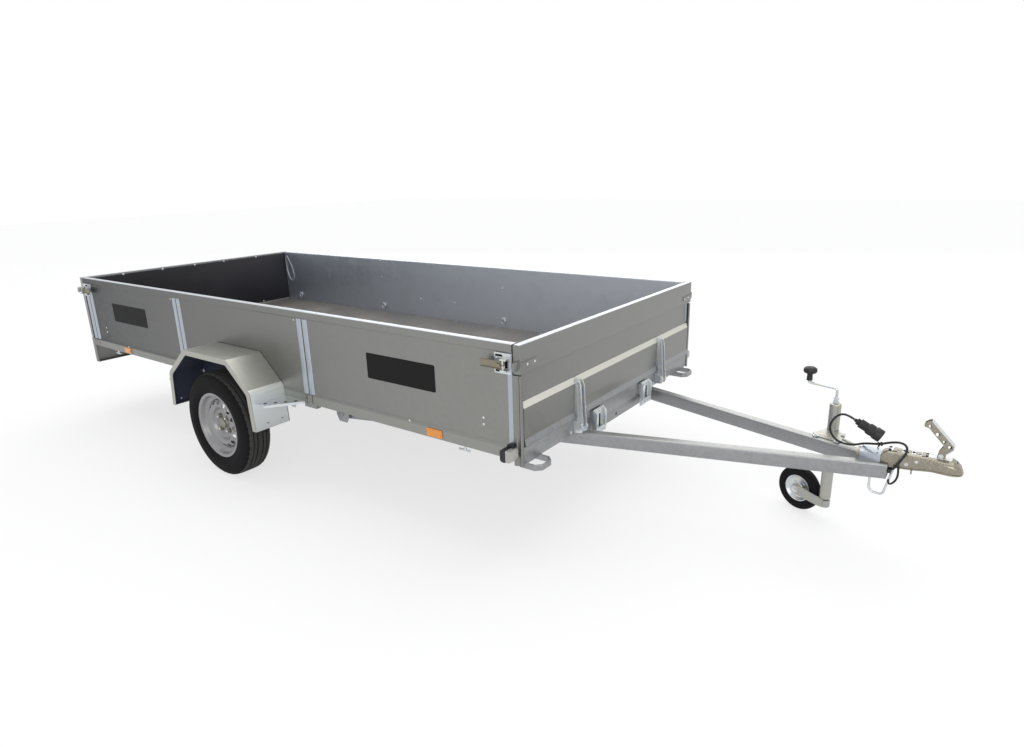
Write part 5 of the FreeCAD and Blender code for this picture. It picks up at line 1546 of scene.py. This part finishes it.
def build_ties():
    """The clip at the tube's end and the ties round the cable."""
    shape = Shape()
    e = TUBE_END
    z = TUBE_Z1
    clip = rounded(e + 0.4, e + 14, -46, -16, 3)
    shape.prism(clip, "z", z - 32, z - 17)
    shape.ring((e + 57, -45, z + 68), (0.1, 0.25, 1), 5.4, 2.6, 20, 8)
    shape.ring((e - 36, 13, z + 59), (1, -0.15, 0.4), 5.4, 3.4, 20, 8)
    shape.ring((e - 46, 15, z + 55.6), (1, -0.15, 0.4), 5.4, 3.2, 20, 8)
    shape.tube([(e - 41, 14, z + 52), (e - 47, 10, z + 44), (e - 44, 4, z + 38)], 2.4, 10)
    piece(shape, "cable_ties", "drawbar", "plastic", angle=40)


def build_cords():
    plug = build_plug()
    build_ties()
    lay_cord("electric_cable_line", "drawbar", "cable_black", [nose_point(p) for p in ELECTRIC], chosen_size("cable"),
             "cable", "electric_cable", far_end="plug", stiffness="limp", lay="loose", with_pieces=[plug])
    lay_cord("safety_cable_line", "drawbar", "cable_black", [nose_point(p) for p in SAFETY], chosen_size("safety"),
             "cable", "safety_cable", far_end="object", stiffness="limp", lay="hanging")
    for side, sign in SIDES:
        points = [placed((WALL_X0 + 12 + dx, sign * (INNER - 2.3), TOP_Z - 30 + dz)) for dx, dz in WIRE]
        lay_cord("gate_wire_" + side, "bed", "wire_steel", points, chosen_size("wire"), "wire",
                 "gate_wires" if sign > 0 else None, far_end="object", stiffness="medium", lay="hanging")


# Stage

CAMERA_PLACE = (3.32621613, -2.81062666, 1.56716864)    # metres, from under the axle
CAMERA_AXES = ((0.80730695, 0.58954639, -0.02627816), (-0.14988496, 0.24791006, 0.95711812),
               (0.57078015, -0.76874941, 0.28850366))    # right, up and back
CAMERA_LENS = 23.594
FLOOR_REACH = 30000    # millimetres, each way
FLOOR_GLOW = 0.7
SUN_AIM = (-0.15, 0.35, 1)    # the way to the overhead light
SUN_ANGLE = math.radians(70)
TRAILER_MIDDLE = Vector((0, 0, 0.8))


def build_camera():
    data = bpy.data.cameras.new("camera")
    data.lens = CAMERA_LENS
    data.sensor_width = 36.0
    data.clip_end = 100.0
    camera = linked("camera", data)
    x, y, z = CAMERA_PLACE
    camera.matrix_world = Matrix.Translation((AXLE_X + x, y, z)) @ Matrix(CAMERA_AXES).transposed().to_4x4()
    bpy.context.scene.camera = camera
    bpy.context.scene.view_settings.view_transform = "Standard"


def direct_rays(tree):
    """1 for camera, glossy and transmission rays, else 0."""
    rays = add_node(tree, "ShaderNodeLightPath").outputs
    camera, glossy, through = (Value(tree, rays["Is %s Ray" % kind]) for kind in ("Camera", "Glossy", "Transmission"))
    return camera.math("MAXIMUM", glossy).math("MAXIMUM", through)


def blended(tree, factor, a, b):
    """Shader a where the factor is 0 and b where it is 1."""
    mix = add_node(tree, "ShaderNodeMixShader", Fac=factor)
    feed(tree, mix.inputs[1], a.outputs[0])
    feed(tree, mix.inputs[2], b.outputs[0])
    return mix.outputs[0]


def build_floor():
    """A white floor that glows a little to the camera and keeps the trailer's shadow."""
    finish = Finish("studio_floor", "stage", (0.94, 0.94, 0.94), 0.9)
    tree = finish.tree
    glow = blended(tree, direct_rays(tree) * FLOOR_GLOW, finish.shader, finish.node("ShaderNodeEmission"))
    feed(tree, tree.nodes["Material Output"].inputs["Surface"], glow)
    mesh = Shape().box(-FLOOR_REACH, FLOOR_REACH, -FLOOR_REACH, FLOOR_REACH, -50, 0).mesh("studio_floor")
    mesh.materials.append(finish.mat)
    linked("studio_floor", mesh)


def build_world(sky):
    """White behind the trailer, and a softer light from all round."""
    world = bpy.data.worlds.new("studio")
    bpy.context.scene.world = world
    world.use_nodes = True
    tree = world.node_tree
    tree.nodes.clear()
    lit = add_node(tree, "ShaderNodeBackground", Color=(0.97, 0.98, 1.0), Strength=sky)
    seen = add_node(tree, "ShaderNodeBackground", Color=(1.0, 1.0, 1.0), Strength=1.0)
    add_node(tree, "ShaderNodeOutputWorld", Surface=blended(tree, direct_rays(tree), lit, seen))


def build_stage(settings):
    build_camera()
    build_floor()
    build_world(settings.sky)
    sun = bpy.data.lights.new("overhead", "SUN")
    sun.energy = settings.overhead
    sun.angle = SUN_ANGLE
    lamp = linked("overhead", sun)
    lamp.matrix_world = Vector(SUN_AIM).to_track_quat("Z", "Y").to_matrix().to_4x4()
    area_light("back_panel", settings.back, (12.0, 3.0), (-3.5, 8.0, 3.6))
    area_light("front_panel", settings.front, (4.0, 2.5), (4.4, -5.2, 3.0))


def area_light(name, power, size, place):
    """A soft panel that faces the middle of the trailer."""
    data = bpy.data.lights.new(name, "AREA")
    data.shape = "RECTANGLE"
    data.size = size[0]
    data.size_y = size[1]
    data.energy = power
    lamp = linked(name, data)
    way = TRAILER_MIDDLE - Vector(place)
    lamp.matrix_world = Matrix.Translation(place) @ way.to_track_quat("-Z", "Y").to_matrix().to_4x4()
    lamp.visible_camera = False


class FinishSettings(bpy.types.PropertyGroup):
    walls: bpy.props.FloatVectorProperty(name="Sides", description="Zinc on the outside of the sides",
                                         subtype="COLOR", min=0.0, max=1.0, default=(0.25, 0.253, 0.238))
    gate: bpy.props.FloatVectorProperty(name="Front gate", description="Zinc on the front gate and the lamp panel",
                                        subtype="COLOR", min=0.0, max=1.0, default=(0.235, 0.238, 0.225))
    frame: bpy.props.FloatVectorProperty(name="Frame", description="Zinc on the beams, brackets and tailgate frame",
                                         subtype="COLOR", min=0.0, max=1.0, default=(0.295, 0.305, 0.312))
    fenders: bpy.props.FloatVectorProperty(name="Fenders", description="Zinc on the fenders",
                                           subtype="COLOR", min=0.0, max=1.0, default=(0.41, 0.41, 0.375))
    fittings: bpy.props.FloatVectorProperty(name="Fittings", description="Bright zinc on straps, catches and hinges",
                                            subtype="COLOR", min=0.0, max=1.0, default=(0.64, 0.67, 0.70))
    coupling: bpy.props.FloatVectorProperty(name="Coupling", description="Pale patches of the plated coupling",
                                            subtype="COLOR", min=0.0, max=1.0, default=(0.42, 0.395, 0.335))
    floor: bpy.props.FloatVectorProperty(name="Floor", description="Film on the plywood floor",
                                         subtype="COLOR", min=0.0, max=1.0, default=(0.19, 0.172, 0.155))
    rims: bpy.props.FloatVectorProperty(name="Rims", description="Paint on the road wheels",
                                        subtype="COLOR", min=0.0, max=1.0, default=(0.30, 0.30, 0.305))


class SizeSettings(bpy.types.PropertyGroup):
    groove: bpy.props.FloatProperty(name="Groove", description="Depth of the tyre's grooves",
                                    default=0.008, min=0.0, max=0.012, unit="LENGTH")
    cable: bpy.props.FloatProperty(name="Electric cable", description="Diameter of the electric cable",
                                   default=0.009, min=0.004, max=0.014, unit="LENGTH")
    safety: bpy.props.FloatProperty(name="Safety cable", description="Diameter of the safety cable",
                                    default=0.008, min=0.003, max=0.012, unit="LENGTH")
    wire: bpy.props.FloatProperty(name="Gate wires", description="Diameter of the gate wires",
                                  default=0.004, min=0.002, max=0.006, unit="LENGTH")


class StageSettings(bpy.types.PropertyGroup):
    sky: bpy.props.FloatProperty(name="Sky", description="Strength of the light from all round", default=0.5,
                                 min=0.0, max=3.0)
    overhead: bpy.props.FloatProperty(name="Overhead", description="Strength of the soft light from above",
                                      default=1.6, min=0.0)
    back: bpy.props.FloatProperty(name="Back panel", description="Power of the soft light behind the trailer",
                                  default=200.0, min=0.0, unit="POWER")
    front: bpy.props.FloatProperty(name="Front panel", description="Power of the soft light before the trailer",
                                   default=130.0, min=0.0, unit="POWER")


class TRAILER_OT_finishes(bpy.types.Operator):
    """Gives every CAD node its material"""
    bl_idname = "trailer.finishes"
    bl_label = "Finishes"

    def execute(self, context):
        build_materials()
        cover_nodes()
        return {"FINISHED"}


class TRAILER_OT_bed(bpy.types.Operator):
    """Side panels, posts, frame and floor of the load bed"""
    bl_idname = "trailer.bed"
    bl_label = "Load bed"

    def execute(self, context):
        build_walls()
        build_bed_frame()
        build_stickers()
        build_rings()
        bed_heads()
        return {"FINISHED"}


class TRAILER_OT_gates(bpy.types.Operator):
    """Front gate, tailgate and their latches"""
    bl_idname = "trailer.gates"
    bl_label = "Gates"

    def execute(self, context):
        build_front_gate()
        build_tailgate()
        build_latches()
        return {"FINISHED"}


class TRAILER_OT_wheels(bpy.types.Operator):
    """Fenders, tyres, rims and hubs"""
    bl_idname = "trailer.wheels"
    bl_label = "Wheels"

    def execute(self, context):
        build_fenders()
        build_gussets()
        for name, sign in SIDES:
            build_tyre(name, sign)
            build_rim(name, sign)
            build_hub(name, sign)
        return {"FINISHED"}


class TRAILER_OT_drawbar(bpy.types.Operator):
    """Drawbar tubes, coupling and its handle"""
    bl_idname = "trailer.drawbar"
    bl_label = "Drawbar"

    def execute(self, context):
        build_drawbar()
        build_coupling()
        return {"FINISHED"}


class TRAILER_OT_jockey(bpy.types.Operator):
    """Jockey wheel with its mast, clamp and fork"""
    bl_idname = "trailer.jockey"
    bl_label = "Jockey wheel"

    def execute(self, context):
        build_jockey()
        return {"FINISHED"}


class TRAILER_OT_lamps(bpy.types.Operator):
    """Lamps, reflectors and number plate"""
    bl_idname = "trailer.lamps"
    bl_label = "Lamps"

    def execute(self, context):
        build_lamps()
        return {"FINISHED"}


class TRAILER_OT_cords(bpy.types.Operator):
    """Electric cable with its plug, safety cable and gate wires"""
    bl_idname = "trailer.cords"
    bl_label = "Cords"

    def execute(self, context):
        build_cords()
        return {"FINISHED"}


class TRAILER_OT_stage(bpy.types.Operator):
    """Camera, floor and soft light"""
    bl_idname = "trailer.stage"
    bl_label = "Stage"

    def execute(self, context):
        build_stage(context.scene.trailer_stage)
        return {"FINISHED"}


OPERATORS = [TRAILER_OT_finishes, TRAILER_OT_bed, TRAILER_OT_gates, TRAILER_OT_wheels, TRAILER_OT_drawbar,
             TRAILER_OT_jockey, TRAILER_OT_lamps, TRAILER_OT_cords, TRAILER_OT_stage]


class TRAILER_PT_panel(bpy.types.Panel):
    """Lists the steps that dress the trailer"""
    bl_idname = "TRAILER_PT_panel"
    bl_label = "Trailer"
    bl_space_type = "VIEW_3D"
    bl_region_type = "UI"
    bl_category = "Trailer"

    def draw(self, context):
        for item in OPERATORS:
            self.layout.operator(item.bl_idname)
        for owner, group in SETTINGS.items():
            for key in group.__annotations__:
                self.layout.prop(getattr(context.scene, owner), key)


SETTINGS = {"trailer_finishes": FinishSettings, "trailer_sizes": SizeSettings, "trailer_stage": StageSettings}
CLASSES = list(SETTINGS.values()) + OPERATORS + [TRAILER_PT_panel]


def register():
    for item in CLASSES:
        bpy.utils.register_class(item)
    for owner, group in SETTINGS.items():
        setattr(bpy.types.Scene, owner, bpy.props.PointerProperty(type=group))


def unregister():
    for owner in SETTINGS:
        delattr(bpy.types.Scene, owner)
    for item in reversed(CLASSES):
        bpy.utils.unregister_class(item)


def main():
    register()
    for item in OPERATORS:
        group, name = item.bl_idname.split(".")
        getattr(getattr(bpy.ops, group), name)()


if __name__ == "__main__":
    main()
